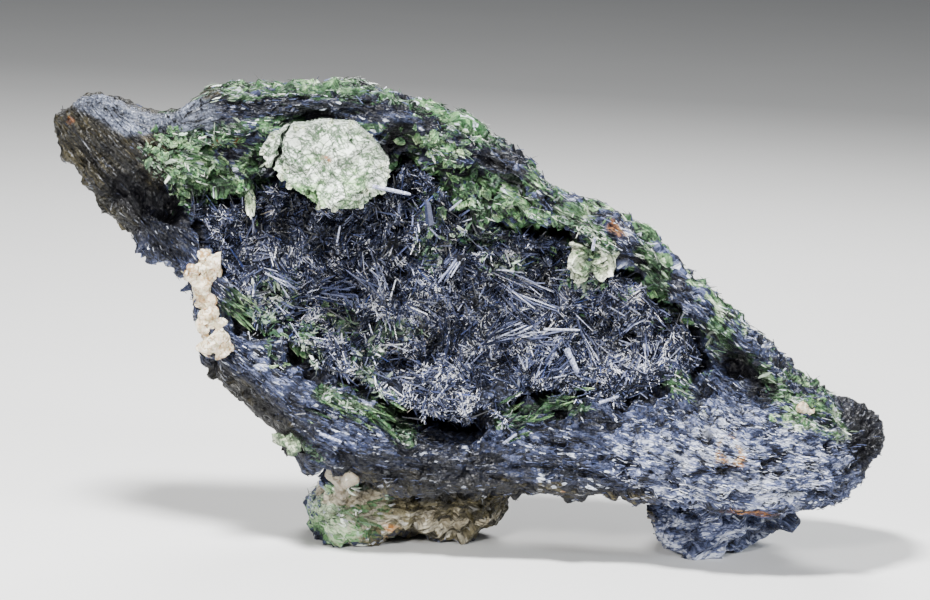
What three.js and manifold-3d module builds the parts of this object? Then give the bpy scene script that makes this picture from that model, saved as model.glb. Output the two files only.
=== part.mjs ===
// A hand specimen of glaucophane: a broken piece of blue, foliated schist with a wide hollow in its front,
// lined with a crust of glaucophane prisms. Books and flakes of green mica grow on the hollow's upper wall,
// cream calcite sits along its left edge, and the stone stands on two lumps of its own rock.
// Millimetres, +Z up, +X to the right of someone who faces the hollow, +Y away from them.
// The origin is at the centre of the stone's footprint box, on the surface it stands on.
import * as THREE from "three";
import { ImprovedNoise } from "three/addons/math/ImprovedNoise.js";
import { mergeVertices } from "three/addons/utils/BufferGeometryUtils.js";
import Module from "manifold-3d";

const wasm = await Module();
wasm.setup();
const { lerp, smoothstep, degToRad, seededRandom } = THREE.MathUtils;

// ---- Driving dimensions ----
const CELL = 2.4; // pitch of the cubes that the rock's surface is drawn on
const GAP = 0.5; // clearance between a mineral and the rock it grows on
const RIM_Y = -8; // front of the rim round the hollow
const TERRACE_Y = -4.5; // front of the wall between the rim and the hollow
const FLOOR_Y = 1.5; // floor of the hollow
const BACK_Y = 15; // broken back of the stone, at its foot
const BACK_LEAN = 0.13; // how far the back comes forward for each millimetre up
const FRONT_ROUND = 3.2; // rounding where the front meets the stone's outline
const BACK_ROUND = 4.5; // rounding where the back meets it
const LIP_WIDTH = 2.5; // width of the slope from the rim to the wall
const WALL_WIDTH = 3.5; // width of the slope from the wall to the floor
const UNDERCUT = 0.5; // how far the hollow climbs under its upper lip for each millimetre in
const LEDGE_PITCH = 4.6; // spacing of the foliation's ledges
const LEDGE_STEP = 1.3; // height of one ledge
const CRUST = 1.4; // thickness of the glaucophane crust

// ---- Outlines, seen from the front, as [x, z] ----
const OUTLINE = [
  [-51.6, 50.4], [-51, 51.7], [-49.7, 52.1], [-49.2, 53.5], [-47.9, 54], [-44.8, 54.2], [-41.5, 52.7],
  [-39.1, 51.8], [-36, 53], [-34.2, 55.1], [-32, 55.8], [-25, 56.4], [-18.5, 56.7], [-13.2, 56.4],
  [-11.8, 55.6], [-7.5, 54.5], [-1.5, 52.8], [1.5, 50.7], [4, 49.6], [5.6, 48.5], [6.8, 46.5], [10, 44.5],
  [15, 42.6], [17.4, 42], [19.4, 40.7], [23, 37.3], [26.4, 34.1], [28.4, 33.5], [29.6, 31.6], [34.6, 27.4],
  [37.4, 25], [41.1, 22.3], [47.6, 19], [49.5, 16], [48.5, 14], [46.7, 12.2], [46.8, 11.2], [46, 9.8],
  [43.9, 8], [39.5, 7], [35.4, 7.4], [29.3, 7.6], [23.4, 8.4], [15, 8.2], [9.8, 8], [5.6, 8.2], [-0.2, 9],
  [-8.6, 8], [-12.2, 9.2], [-17.6, 10.2], [-20.7, 11], [-22.8, 12.9], [-27.2, 15.7], [-31.4, 19.7],
  [-32.5, 22.4], [-32.8, 24.2], [-32.5, 27.1], [-34.2, 29.5], [-35.2, 32.5], [-37.8, 34.6], [-41.3, 37.7],
  [-45.1, 41.3], [-45.9, 42.8], [-48.8, 45.2], [-51.1, 48.9],
];
const HOLLOW_FOOT = [
  [37.8, 22.5], [33, 21.4], [27.1, 19.5], [21.2, 16.9], [15.2, 15.4], [10.4, 16.7], [5.6, 15.1], [0.9, 13.5],
  [-5.1, 12.8], [-10.6, 14.6], [-14.8, 17.1], [-20.9, 19.9], [-25.8, 22.6], [-30.1, 23.9], [-31.3, 25.4],
  [-31.2, 28.5], [-32.4, 31.5], [-34.1, 35.5], [-38.4, 38.3], [-42.7, 42.1],
];
const BASIN = [
  [-44.3, 43.7], [-41.5, 44.1], [-39.6, 46.3], [-38.1, 48.8], [-35.2, 51], [-30.5, 52.6], [-22.1, 53.6],
  [-16.1, 53.6], [-10.1, 52.8], [-6.4, 51.8], [-1.5, 49.6], [2.1, 47.4], [7, 43.6], [13.1, 40.8], [19.2, 37.4],
  [24.2, 33.5], [28.5, 30.4], [32.8, 26.8], ...HOLLOW_FOOT,
];
const HOLLOW = [
  [-43.6, 43], [-38.5, 43], [-33.7, 41.4], [-30.7, 40.7], [-27.1, 41.8], [-24.7, 43.6], [-21.7, 42.1],
  [-16.9, 41.3], [-11.5, 42.4], [-10.4, 46.2], [-10, 50.6], [-8.6, 51.4], [-7, 50.4], [-6.4, 44.5], [-4.3, 43.9],
  [-1.2, 38.8], [2.4, 39.2], [6.1, 38.3], [10.2, 38.4], [13.4, 34.2], [17.6, 34.3], [21.2, 32.6], [25.5, 29.9],
  [29.2, 27.6], [32.7, 25.4], ...HOLLOW_FOOT,
];

// ---- Lobes of rock: [x, y, z] centre and [x, y, z] radii ----
const BULGE = { at: [31.5, -7.5, 13.6], radii: [15.5, 7.2, 6.4] };
const NOSE = { at: [44, 1, 16.5], radii: [6.2, 6.5, 4.2] };
const FEET = [
  { at: [-14.6, 4, 3.6], radii: [6, 9.5, 5.4] },
  { at: [-5, 5, 5], radii: [10.4, 9, 5.4] },
  { at: [28.6, 5, 3.8], radii: [6.6, 9.5, 6.4] },
  { at: [35, 6, 6.4], radii: [5, 7.5, 5] },
];
// The lower lip of the hollow: [x, z] and radius along it.
const LIP = [
  [-30, 22, 2.2], [-22.1, 17.2, 3], [-14.7, 13.2, 3.4], [-6.2, 10.8, 3], [3.4, 10.8, 3], [13, 11.4, 3.4], [22, 12.2, 4],
];
const LIP_Y = -6.6;
const LIP_BLEND = 2.4;
const FOOT_BLEND = 2.2;
// A dark slot opens between the crust and the lower lip, seen from the front as [x, z].
const SLOT = [
  [-13.2, 20], [-9.6, 18], [-5.6, 16.8], [-2.4, 16], [1.6, 15], [1.8, 13.4], [-4.5, 13.2], [-8.6, 14.8], [-12.8, 17],
];
const SLOT_Y = [-7, 7.5]; // how deep it runs

// Flat breaks across the rock's corners: the way each one faces, and how far out it lies along that way.
const BREAKS = [
  { way: [0.1, 0.8, 0.59], far: 35.6 },
  { way: [0.45, 0.6, 0.66], far: 38.4 },
  { way: [-0.35, 0.7, -0.62], far: 7 },
  { way: [-0.6, 0.75, 0.28], far: 46.6 },
  { way: [0.2, 0.7, -0.68], far: 5.4 },
  { way: [0.7, 0.65, 0.3], far: 44 },
  { way: [0.35, -0.8, 0.49], far: 30.6 },
  { way: [-0.62, -0.55, -0.56], far: 9.6 },
];

// ---- Small helpers ----
const noise = new ImprovedNoise();
// Smooth noise between about -1 and 1, with lumps of the given size.
const lumps = (x, y, z, size) => 1.4 * noise.noise(x / size + 71.3, y / size + 31.7, z / size + 53.1);

// The closed polygon of a smooth curve through the outline's points.
function smoothed(points) {
  const curve = new THREE.CatmullRomCurve3(points.map(([x, z]) => new THREE.Vector3(x, 0, z)), true, "centripetal");
  return curve.getPoints(points.length * 2).slice(0, -1).map((p) => [p.x, p.z]);
}

// Distance from [x, z] to a closed polygon, negative inside it.
function toPolygon(polygon, x, z) {
  let nearest = Infinity;
  let inside = false;
  polygon.forEach(([ax, az], i) => {
    const [bx, bz] = polygon[(i + 1) % polygon.length];
    const ex = bx - ax;
    const ez = bz - az;
    const t = THREE.MathUtils.clamp(((x - ax) * ex + (z - az) * ez) / (ex * ex + ez * ez), 0, 1);
    nearest = Math.min(nearest, (x - ax - t * ex) ** 2 + (z - az - t * ez) ** 2);
    if (az > z !== bz > z && x < ax + (ex * (z - az)) / ez) inside = !inside;
  });
  return (inside ? -1 : 1) * Math.sqrt(nearest);
}

// Distance from a point to an ellipsoid, close enough near its surface.
function toLobe({ at, radii }, x, y, z) {
  const [u, v, w] = [(x - at[0]) / radii[0], (y - at[1]) / radii[1], (z - at[2]) / radii[2]];
  const k0 = Math.hypot(u, v, w);
  const k1 = Math.hypot(u / radii[0], v / radii[1], w / radii[2]);
  return k1 > 0 ? (k0 * (k0 - 1)) / k1 : -Math.min(...radii);
}

// Distance from a point to the rounded ridge along the hollow's lower lip.
function toLip(x, y, z) {
  let nearest = Infinity;
  for (let i = 1; i < LIP.length; i++) {
    const [ax, az, ar] = LIP[i - 1];
    const [bx, bz, br] = LIP[i];
    const t = THREE.MathUtils.clamp(
      ((x - ax) * (bx - ax) + (z - az) * (bz - az)) / ((bx - ax) ** 2 + (bz - az) ** 2), 0, 1);
    const away = Math.hypot(x - lerp(ax, bx, t), y - LIP_Y, z - lerp(az, bz, t)) - lerp(ar, br, t);
    nearest = Math.min(nearest, away);
  }
  return nearest;
}

// The union of two distances, blended over a width.
function blend(a, b, width) {
  const h = Math.max(width - Math.abs(a - b), 0) / width;
  return Math.min(a, b) - (h * h * width) / 4;
}

const outline = smoothed(OUTLINE);
const basin = smoothed(BASIN);
const hollow = smoothed(HOLLOW);

// How far the foliation's ledges stand back at a depth of `inside` from the outline.
function ledge(inside, x, y, z) {
  const t = inside / LEDGE_PITCH + 0.5 * lumps(x, y, z, 16);
  const along = t - Math.floor(t);
  return LEDGE_STEP * Math.min(along / 0.8, (1 - along) / 0.2) * smoothstep(inside, 0, 2);
}

// The front of the rock at [x, z]; `climb` is how far the hollow has shifted up at the depth asked about.
function frontAt(x, z, edge, climb) {
  const rim = RIM_Y + 0.04 * (z - 30) + ledge(-edge, x, 0, z) + 0.5 * lumps(x, 0, z, 7);
  const wall = TERRACE_Y + 1.5 * lumps(x, 5, z, 6);
  const floor = FLOOR_Y - 2.5 * smoothstep(x, 14, 34) - 1.5 * smoothstep(-x, 28, 40) + 1.2 * lumps(x, 9, z, 9);
  const inBasin = smoothstep(-Math.max(toPolygon(basin, x, z - climb), edge + 2), 0, LIP_WIDTH);
  const inHollow = smoothstep(-Math.max(toPolygon(hollow, x, z - climb), edge + 3.5), 0, WALL_WIDTH);
  return lerp(lerp(rim, wall, inBasin), floor, inHollow);
}

// The rock as a field: below zero inside it.
function rock(x, y, z) {
  const edge = toPolygon(outline, x, z) + 0.5 * lumps(x, y, z, 5) + 0.3 * lumps(x, y, z, 2.6);
  const front = frontAt(x, z, edge, UNDERCUT * Math.max(0, y - RIM_Y));
  const back = BACK_Y - BACK_LEAN * z - ledge(-edge, x, 40, z) + 1.2 * lumps(x, 20, z, 11);
  const through = Math.max(front - y, y - back);
  const round = y < 0 ? FRONT_ROUND : BACK_ROUND;
  const corner = Math.hypot(Math.max(edge + round, 0), Math.max(through + round, 0));
  let away = Math.min(Math.max(edge, through) + round, 0) + corner - round;
  away = blend(away, toLip(x, y, z), LIP_BLEND);
  away = blend(away, toLobe(BULGE, x, y, z), LIP_BLEND);
  away = blend(away, toLobe(NOSE, x, y, z), LIP_BLEND);
  for (const { way, far } of BREAKS)
    away = Math.max(away, way[0] * x + way[1] * y + way[2] * z - far + 0.4 * lumps(x, y, z, 6));
  for (const foot of FEET) away = blend(away, toLobe(foot, x, y, z) + 0.9 * lumps(x, y, z, 4.5), FOOT_BLEND);
  return Math.max(away, -Math.max(toPolygon(SLOT, x, z), y - SLOT_Y[1], SLOT_Y[0] - y));
}

// The same field, scaled so that it is a distance close to the surface.
function distance(x, y, z) {
  const step = 0.4;
  const here = rock(x, y, z);
  const slope = Math.hypot(
    rock(x + step, y, z) - here, rock(x, y + step, z) - here, rock(x, y, z + step) - here) / step;
  return here / Math.max(slope, 0.8);
}

// ---- Field to solid ----
const LOW = [-57, -21, -9.6];
const COUNT = [Math.ceil(112 / CELL), Math.ceil(44 / CELL), Math.ceil(72 / CELL)];
const at = (i, j, k) => (i * COUNT[1] + j) * COUNT[2] + k;
const field = new Float32Array(COUNT[0] * COUNT[1] * COUNT[2]);
for (let i = 0; i < COUNT[0]; i++)
  for (let j = 0; j < COUNT[1]; j++)
    for (let k = 0; k < COUNT[2]; k++)
      field[at(i, j, k)] = distance(LOW[0] + i * CELL, LOW[1] + j * CELL, LOW[2] + k * CELL);

// A cube's face whose corners change sign on all four sides would make an edge that four faces share:
// its corner nearest to the surface is filled, until no such face is left.
function untangled(values) {
  const v = values.slice();
  const steps = [at(1, 0, 0), at(0, 1, 0), at(0, 0, 1)];
  let found = true;
  while (found) {
    found = false;
    for (let c = 0; c + steps[0] + steps[1] < v.length; c++)
      for (const [a, b] of [[0, 1], [1, 2], [0, 2]]) {
        const face = [c, c + steps[a], c + steps[a] + steps[b], c + steps[b]];
        const [p, q, r, s] = face.map((n) => v[n] < 0);
        if (p !== r || q !== s || p === q) continue;
        const empty = face.filter((n) => v[n] >= 0);
        v[v[empty[0]] < v[empty[1]] ? empty[0] : empty[1]] = -0.01;
        found = true;
      }
  }
  return v;
}

// The solid whose surface lies `out` outside the rock: one vertex for each cube that the surface crosses,
// and one quad for each of the cubes' edges that it crosses.
function rockGrownBy(out) {
  const v = untangled(field.map((d) => d - out));
  const positions = [];
  const faces = [];
  const vertexOf = new Map();
  const corners = [0, 1, 2, 3, 4, 5, 6, 7].map((n) => [n & 1, (n >> 1) & 1, (n >> 2) & 1]);
  const edges = [[0, 1], [2, 3], [4, 5], [6, 7], [0, 2], [1, 3], [4, 6], [5, 7], [0, 4], [1, 5], [2, 6], [3, 7]];
  for (let i = 0; i + 1 < COUNT[0]; i++)
    for (let j = 0; j + 1 < COUNT[1]; j++)
      for (let k = 0; k + 1 < COUNT[2]; k++) {
        const values = corners.map(([a, b, c]) => v[at(i + a, j + b, k + c)]);
        const sum = [0, 0, 0];
        let crossings = 0;
        for (const [p, q] of edges) {
          if (values[p] < 0 === values[q] < 0) continue;
          const t = values[p] / (values[p] - values[q]);
          for (const axis of [0, 1, 2]) sum[axis] += lerp(corners[p][axis], corners[q][axis], t);
          crossings++;
        }
        if (!crossings) continue;
        vertexOf.set(at(i, j, k), positions.length / 3);
        [i, j, k].forEach((n, axis) => positions.push(LOW[axis] + CELL * (n + sum[axis] / crossings)));
      }
  const point = (n) => new THREE.Vector3().fromArray(positions, 3 * n);
  const addQuad = ([a, b, c, d]) => {
    if (point(a).distanceTo(point(c)) < point(b).distanceTo(point(d))) faces.push(a, b, c, a, c, d);
    else faces.push(a, b, d, b, c, d);
  };
  const units = [[1, 0, 0], [0, 1, 0], [0, 0, 1]];
  for (let i = 1; i + 1 < COUNT[0]; i++)
    for (let j = 1; j + 1 < COUNT[1]; j++)
      for (let k = 1; k + 1 < COUNT[2]; k++)
        for (const axis of [0, 1, 2]) {
          const here = v[at(i, j, k)] < 0;
          const [a, b, c] = units[axis];
          if (here === v[at(i + a, j + b, k + c)] < 0) continue;
          const [u, w] = [units[(axis + 1) % 3], units[(axis + 2) % 3]];
          const round = [[1, 1], [0, 1], [0, 0], [1, 0]].map(([m, n]) =>
            vertexOf.get(at(i - m * u[0] - n * w[0], j - m * u[1] - n * w[1], k - m * u[2] - n * w[2])));
          addQuad(here ? round : round.reverse());
        }
  return new wasm.Manifold(new wasm.Mesh({
    numProp: 3,
    vertProperties: new Float32Array(positions),
    triVerts: new Uint32Array(faces),
  }));
}

// ---- Geometry to solid and back ----
function solidOf(geometry) {
  const bare = geometry.clone();
  bare.deleteAttribute("normal");
  bare.deleteAttribute("uv");
  const merged = mergeVertices(bare, 1e-4);
  return new wasm.Manifold(new wasm.Mesh({
    numProp: 3,
    vertProperties: new Float32Array(merged.attributes.position.array),
    triVerts: new Uint32Array(merged.index.array),
  }));
}

function geometryOf(solid) {
  const mesh = solid.getMesh();
  const geometry = new THREE.BufferGeometry();
  geometry.setAttribute("position", new THREE.BufferAttribute(new Float32Array(mesh.vertProperties), 3));
  geometry.setIndex(new THREE.BufferAttribute(new Uint32Array(mesh.triVerts), 1));
  return geometry;
}

// What is left of a solid once crumbs that a cut has parted from it are dropped.
const largest = (solid) => solid.decompose().reduce((a, b) => (b.volume() > a.volume() ? b : a));

// The rock, flat where it stands: everything below the surface it stands on is cut off.
function standing(solid) {
  const below = new THREE.BoxGeometry(140, 80, 20).translate(0, 0, -10);
  return solid.subtract(solidOf(below));
}

const matrix = largest(standing(rockGrownBy(0)));
const clear = rockGrownBy(GAP); // cuts each mineral back to leave its gap to the rock

// ---- Pieces that grow on the rock ----
// A solid with flat sides: the outline of [x, z] points, as thick as given, its front at the depth y.
function plate(points, y, thickness) {
  const shape = new THREE.Shape(points.map(([x, z]) => new THREE.Vector2(x, z)));
  const geometry = new THREE.ExtrudeGeometry(shape, { depth: thickness, bevelEnabled: false });
  return geometry.rotateX(Math.PI / 2).translate(0, y + thickness, 0);
}

// The point on the rock's front at [x, z], brought forward by `out`.
function onFront([x, out, z]) {
  let y = -18;
  while (rock(x, y, z) > 0 && y < 8) y += 0.2;
  return new THREE.Vector3(x, y - out, z);
}

// A leaf of mica: an irregular six-sided plate, turned to lean by [about x, about y, about z] degrees.
function leaf({ at: place, size: [width, height, thickness], turn }) {
  const corners = [[0.5, 0.1], [0.28, 0.46], [-0.2, 0.5], [-0.5, 0.06], [-0.3, -0.45], [0.24, -0.5]];
  const geometry = plate(corners.map(([x, z]) => [x * width, z * height]), -thickness / 2, thickness);
  geometry.rotateX(degToRad(turn[0])).rotateY(degToRad(turn[1])).rotateZ(degToRad(turn[2]));
  return solidOf(geometry.translate(...onFront(place)));
}

// A grain of calcite: a low-sided ellipsoid.
function grain({ at: place, radii }) {
  const geometry = new THREE.IcosahedronGeometry(1, 1).scale(...radii);
  return solidOf(geometry.translate(...onFront(place)));
}

// A prism of glaucophane from its foot along a direction: a lozenge in section, thinner towards its tip.
function prism(foot, direction, length, radius) {
  const geometry = new THREE.CylinderGeometry(radius * 0.55, radius, length, 4, 1).translate(0, length / 2, 0);
  geometry.scale(1, 1, 0.6);
  const turn = new THREE.Quaternion().setFromUnitVectors(new THREE.Vector3(0, 1, 0), direction.clone().normalize());
  return solidOf(geometry.applyQuaternion(turn).translate(foot.x, foot.y, foot.z));
}

const union = (solids) => solids.reduce((a, b) => a.add(b));
const onRock = (solids) => largest(union(solids).subtract(clear));

// Where each leaf and grain sits: `at` is [x, how far its middle stands out of the rock, z].
// The mica book is a pile of crumpled sheets that step back towards the wall behind them.
const MICA_BOOK = [
  { at: [-19, 0.6, 47.6], size: [15, 10.4, 3], turn: [8, 6, -6] },
  { at: [-20.8, 2, 48.4], size: [10, 8.2, 1.8], turn: [-12, 14, -10] },
  { at: [-15.6, 2, 48], size: [7.8, 9.6, 1.8], turn: [6, -22, -4] },
  { at: [-17.6, 3, 45.8], size: [8.5, 5, 1.8], turn: [24, 4, 8] },
  { at: [-13.6, 2.2, 46.6], size: [4.6, 6, 1.8], turn: [-6, -34, 6] },
  { at: [-22.6, 2.4, 46.6], size: [4.6, 4, 1.8], turn: [18, 24, 12] },
];
const ROSETTE = [
  { at: [11.2, 0.9, 36], size: [3.8, 3.8, 1.2], turn: [-10, 24, 20] },
  { at: [14.2, 0.9, 37], size: [3.2, 5, 1.2], turn: [0, -24, -14] },
  { at: [12.6, 0.5, 36.2], size: [3, 2.4, 2], turn: [0, 0, 0] },
];
const FLAKE_UPPER = [
  { at: [-5.4, 0.8, 49], size: [3.2, 5.4, 1.6], turn: [0, -20, -8] },
  { at: [-3.9, 0.8, 46.6], size: [2.8, 4.6, 1.6], turn: [0, 16, 6] },
];
const PATCH_LEFT = [
  { at: [-36, 0.6, 48.4], size: [6, 4.4, 1.8], turn: [-10, 8, 28] },
  { at: [-34.9, 0.8, 45.2], size: [3.4, 4.8, 1.8], turn: [0, -16, 12] },
  { at: [-32.8, 0.7, 47], size: [4.4, 4, 1.8], turn: [-12, 0, -20] },
];
const TOOTH_LEFT = [
  { at: [-29.9, 0.8, 43.9], size: [3.6, 3.8, 1.6], turn: [8, -14, 10] },
  { at: [-27.6, 0.8, 42.9], size: [2.6, 3.8, 1.6], turn: [0, 18, -12] },
];
const TUFT_LOW = [
  { at: [-22.4, 0.6, 14.2], size: [2.8, 1.8, 2.4], turn: [0, 14, 24] },
  { at: [-21, 0.6, 14], size: [2.2, 2.2, 2.4], turn: [0, -14, -10] },
];
const BLADE_LEFT = [
  { at: [-28.2, 0.7, 27.8], size: [4.8, 1.2, 1.8], turn: [0, 30, 0] },
  { at: [-25.2, 0.7, 26], size: [4.6, 1.2, 1.8], turn: [0, 32, 0] },
];
const BLADE_LOW = [
  { at: [-15.6, 0.7, 18.2], size: [7, 1.3, 2], turn: [0, 26, 0] },
  { at: [-11, 0.7, 15.4], size: [5.4, 1.4, 2], turn: [0, 36, 0] },
];
const LENS_LOW = [{ at: [7.6, 0.8, 17.4], size: [10, 1.8, 2.4], turn: [0, -14, 0] }];
const CALCITE_VEIN = [
  { at: [-32.6, 0.5, 34.5], radii: [2.5, 2, 1.9] },
  { at: [-32.6, 0.5, 31.5], radii: [1.8, 1.9, 1.8] },
  { at: [-31.1, 0.5, 28.5], radii: [1.9, 1.9, 2] },
  { at: [-30.2, 0.5, 25.3], radii: [2.3, 1.9, 2.2] },
];
const CALCITE_LOW = [
  { at: [-15.7, 0.3, 9.6], radii: [2, 1.6, 1.2] },
  { at: [-15.6, 0.3, 7.4], radii: [1.5, 1.6, 1.3] },
];
const CALCITE_RIGHT = [{ at: [38.8, 0.4, 20], radii: [1.6, 1.4, 1.1] }];

// Sprays of long prisms that stand out of the crust: their common foot, the way they point, and how many.
const SPRAYS = [
  { at: [4, 0, 33.4], way: [0.8, -0.4, -0.3], count: 3, length: 8 },
  { at: [4.4, 0, 26], way: [0.6, -0.4, 0.7], count: 3, length: 6 },
  { at: [8, 0, 25.6], way: [1, -0.3, 0], count: 2, length: 6 },
  { at: [10, 0, 23.6], way: [0.6, -0.5, 0.5], count: 1, length: 5 },
  { at: [13, 0, 19.4], way: [0.9, -0.4, 0.1], count: 2, length: 6 },
  { at: [23.4, 0, 19.6], way: [0.1, -0.5, 0.9], count: 3, length: 8 },
  { at: [-7.4, 0, 43.6], way: [0.1, -0.6, -0.8], count: 2, length: 6 },
  { at: [-8, 0, 15.6], way: [0.1, -0.8, -0.6], count: 1, length: 5 },
];
const PRISMS = 34; // prisms scattered over the crust besides the sprays
// Where the crust stays bare of tall prisms: [lowest x, lowest z, highest x, highest z].
const BARE = [[-30, 28, -19, 39], [11.5, 24.5, 20, 32]];

// The glaucophane crust: a skin over the hollow's floor with prisms standing out of it.
function crust() {
  const random = () => seededRandom();
  seededRandom(7);
  const jitter = (size) => new THREE.Vector3(random() - 0.5, random() - 0.5, random() - 0.5).multiplyScalar(size);
  const mouth = solidOf(plate(hollow, -3.4, 14)).subtract(solidOf(plate(SLOT, -10, 30)));
  const solids = [rockGrownBy(GAP + CRUST).intersect(mouth)];
  for (const { at: place, way, count, length } of SPRAYS)
    for (let n = 0; n < count; n++) {
      const foot = onFront(place).add(jitter(2));
      const direction = new THREE.Vector3(...way).add(jitter(0.7));
      solids.push(prism(foot, direction, length * lerp(0.7, 1.1, random()), lerp(0.5, 0.8, random())));
    }
  let left = PRISMS;
  while (left > 0) {
    const x = lerp(-38, 34, random());
    const z = lerp(14, 43, random());
    if (toPolygon(hollow, x, z) > -2.5) continue;
    const direction = new THREE.Vector3(random() - 0.5, -0.5, random() - 0.5);
    const length = lerp(5, 8, random());
    const foot = onFront([x, 0.8, z]);
    const tip = direction.clone().setLength(length).add(foot);
    const reach = (a, b) => [Math.min(a, b) - 1, Math.max(a, b) + 1];
    const [x0, x1] = reach(foot.x, tip.x);
    const [z0, z1] = reach(foot.z, tip.z);
    if (BARE.some(([ax, az, bx, bz]) => x1 > ax && x0 < bx && z1 > az && z0 < bz)) continue;
    solids.push(prism(foot, direction, length, lerp(0.55, 0.9, random())));
    left--;
  }
  return onRock(solids);
}

// The nodes, each with its solid, its colour and how rough it is.
const MICA = { color: 0xa9c79a, roughness: 0.4 };
const CALCITE = { color: 0xe8d2b0, roughness: 0.5 };
const PIECES = {
  schist_matrix: { solid: matrix, color: 0x5b6672, roughness: 0.8 },
  mica_book: { solid: onRock(MICA_BOOK.map(leaf)), ...MICA },
  mica_rosette: { solid: onRock(ROSETTE.map(leaf)), ...MICA },
  mica_flake_upper: { solid: onRock(FLAKE_UPPER.map(leaf)), ...MICA },
  mica_patch_left: { solid: onRock(PATCH_LEFT.map(leaf)), ...MICA },
  mica_tooth_left: { solid: onRock(TOOTH_LEFT.map(leaf)), ...MICA },
  mica_tuft_low: { solid: onRock(TUFT_LOW.map(leaf)), ...MICA },
  mica_blade_left: { solid: onRock(BLADE_LEFT.map(leaf)), ...MICA },
  mica_blade_low: { solid: onRock(BLADE_LOW.map(leaf)), ...MICA },
  mica_lens_low: { solid: onRock(LENS_LOW.map(leaf)), ...MICA },
  calcite_vein: { solid: onRock(CALCITE_VEIN.map(grain)), ...CALCITE },
  calcite_grains_low: { solid: onRock(CALCITE_LOW.map(grain)), ...CALCITE },
  calcite_grain_right: { solid: onRock(CALCITE_RIGHT.map(grain)), ...CALCITE },
};

// The crust stops short of every mineral that stands in the hollow.
const room = Object.values(PIECES).slice(1).map(({ solid }) => {
  const { min, max } = solid.boundingBox();
  const middle = min.map((low, axis) => (low + max[axis]) / 2);
  const grow = min.map((low, axis) => 1 + (2 * GAP) / (max[axis] - low));
  return solid.translate(middle.map((m) => -m)).scale(grow).translate(middle);
});
PIECES.glaucophane_crust = { solid: largest(crust().subtract(union(room))), color: 0x26305a, roughness: 0.35 };

// ---- The part: every piece as a mesh, with the footprint's centre at the origin ----
const footprint = matrix.boundingBox();
const centreX = (footprint.min[0] + footprint.max[0]) / 2;
const centreY = (footprint.min[1] + footprint.max[1]) / 2;

const group = new THREE.Group();
group.name = "glaucophane_specimen";
for (const [name, { solid, color, roughness }] of Object.entries(PIECES)) {
  const material = new THREE.MeshStandardMaterial({ color, roughness, metalness: 0 });
  const mesh = new THREE.Mesh(geometryOf(solid), material);
  mesh.name = name;
  mesh.position.set(-centreX, -centreY, 0);
  group.add(mesh);
}
export default group;
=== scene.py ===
import math
import bpy
import bmesh
import numpy as np
from mathutils import Matrix, Vector, kdtree, noise
from mathutils.bvhtree import BVHTree


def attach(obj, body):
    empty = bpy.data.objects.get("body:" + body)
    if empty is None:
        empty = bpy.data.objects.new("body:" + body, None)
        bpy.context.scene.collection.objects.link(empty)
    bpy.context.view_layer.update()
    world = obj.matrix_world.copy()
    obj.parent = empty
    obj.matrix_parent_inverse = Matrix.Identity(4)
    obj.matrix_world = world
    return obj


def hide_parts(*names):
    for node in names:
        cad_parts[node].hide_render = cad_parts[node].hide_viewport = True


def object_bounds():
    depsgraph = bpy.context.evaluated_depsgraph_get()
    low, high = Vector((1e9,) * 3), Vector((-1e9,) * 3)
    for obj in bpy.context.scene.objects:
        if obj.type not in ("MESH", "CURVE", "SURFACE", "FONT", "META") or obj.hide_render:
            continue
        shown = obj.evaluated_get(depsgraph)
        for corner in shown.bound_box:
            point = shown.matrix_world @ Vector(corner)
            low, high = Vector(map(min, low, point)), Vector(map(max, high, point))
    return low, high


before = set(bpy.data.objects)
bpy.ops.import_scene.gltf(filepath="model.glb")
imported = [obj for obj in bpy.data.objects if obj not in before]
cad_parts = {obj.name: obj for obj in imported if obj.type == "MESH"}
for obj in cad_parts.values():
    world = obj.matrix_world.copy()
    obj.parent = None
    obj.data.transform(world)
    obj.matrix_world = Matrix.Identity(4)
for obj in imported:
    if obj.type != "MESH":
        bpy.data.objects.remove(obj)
cad_low, cad_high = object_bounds()

# ---------------------------------------------------------------- camera, floor and light
# The specimen stands on a pale table under four soft lights, over it, at the front left, at the right and
# behind it, with a long lens looking ten degrees down at its hollow.
MM = 0.001
scene = bpy.context.scene

camera_data = bpy.data.cameras.new("long_lens")
camera_data.lens = 150
camera_data.sensor_width = 36
camera_data.clip_start = 0.05
camera_data.clip_end = 20
camera = bpy.data.objects.new("camera", camera_data)
scene.collection.objects.link(camera)
CAMERA_AIM = Vector((-0.95 * MM, 0.2 * MM, 30.35 * MM))
CAMERA_AWAY = 465 * MM
CAMERA_UP = math.radians(10)
CAMERA_ROLL = math.radians(1.9)
camera.matrix_world = (
    Matrix.Translation(CAMERA_AIM + CAMERA_AWAY * Vector((0, -math.cos(CAMERA_UP), math.sin(CAMERA_UP))))
    @ Matrix.Rotation(math.pi / 2 - CAMERA_UP, 4, "X")
    @ Matrix.Rotation(CAMERA_ROLL, 4, "Z")
)
scene.camera = camera


def new_material(name):
    material = bpy.data.materials.new(name)
    material.use_nodes = True
    material.node_tree.nodes.clear()
    return material


def add_node(tree, kind, settings=None, **inputs):
    """Adds a node: its settings, then the values or links of its sockets by name, or by number as _0."""
    made = tree.nodes.new(kind)
    for key, value in (settings or {}).items():
        setattr(made, key, value)
    for key, value in inputs.items():
        socket = made.inputs[int(key[1:]) if key[0] == "_" else key.replace("_", " ")]
        value = getattr(value, "socket", value)
        if isinstance(value, bpy.types.NodeSocket):
            tree.links.new(value, socket)
        else:
            socket.default_value = value
    return made


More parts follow.
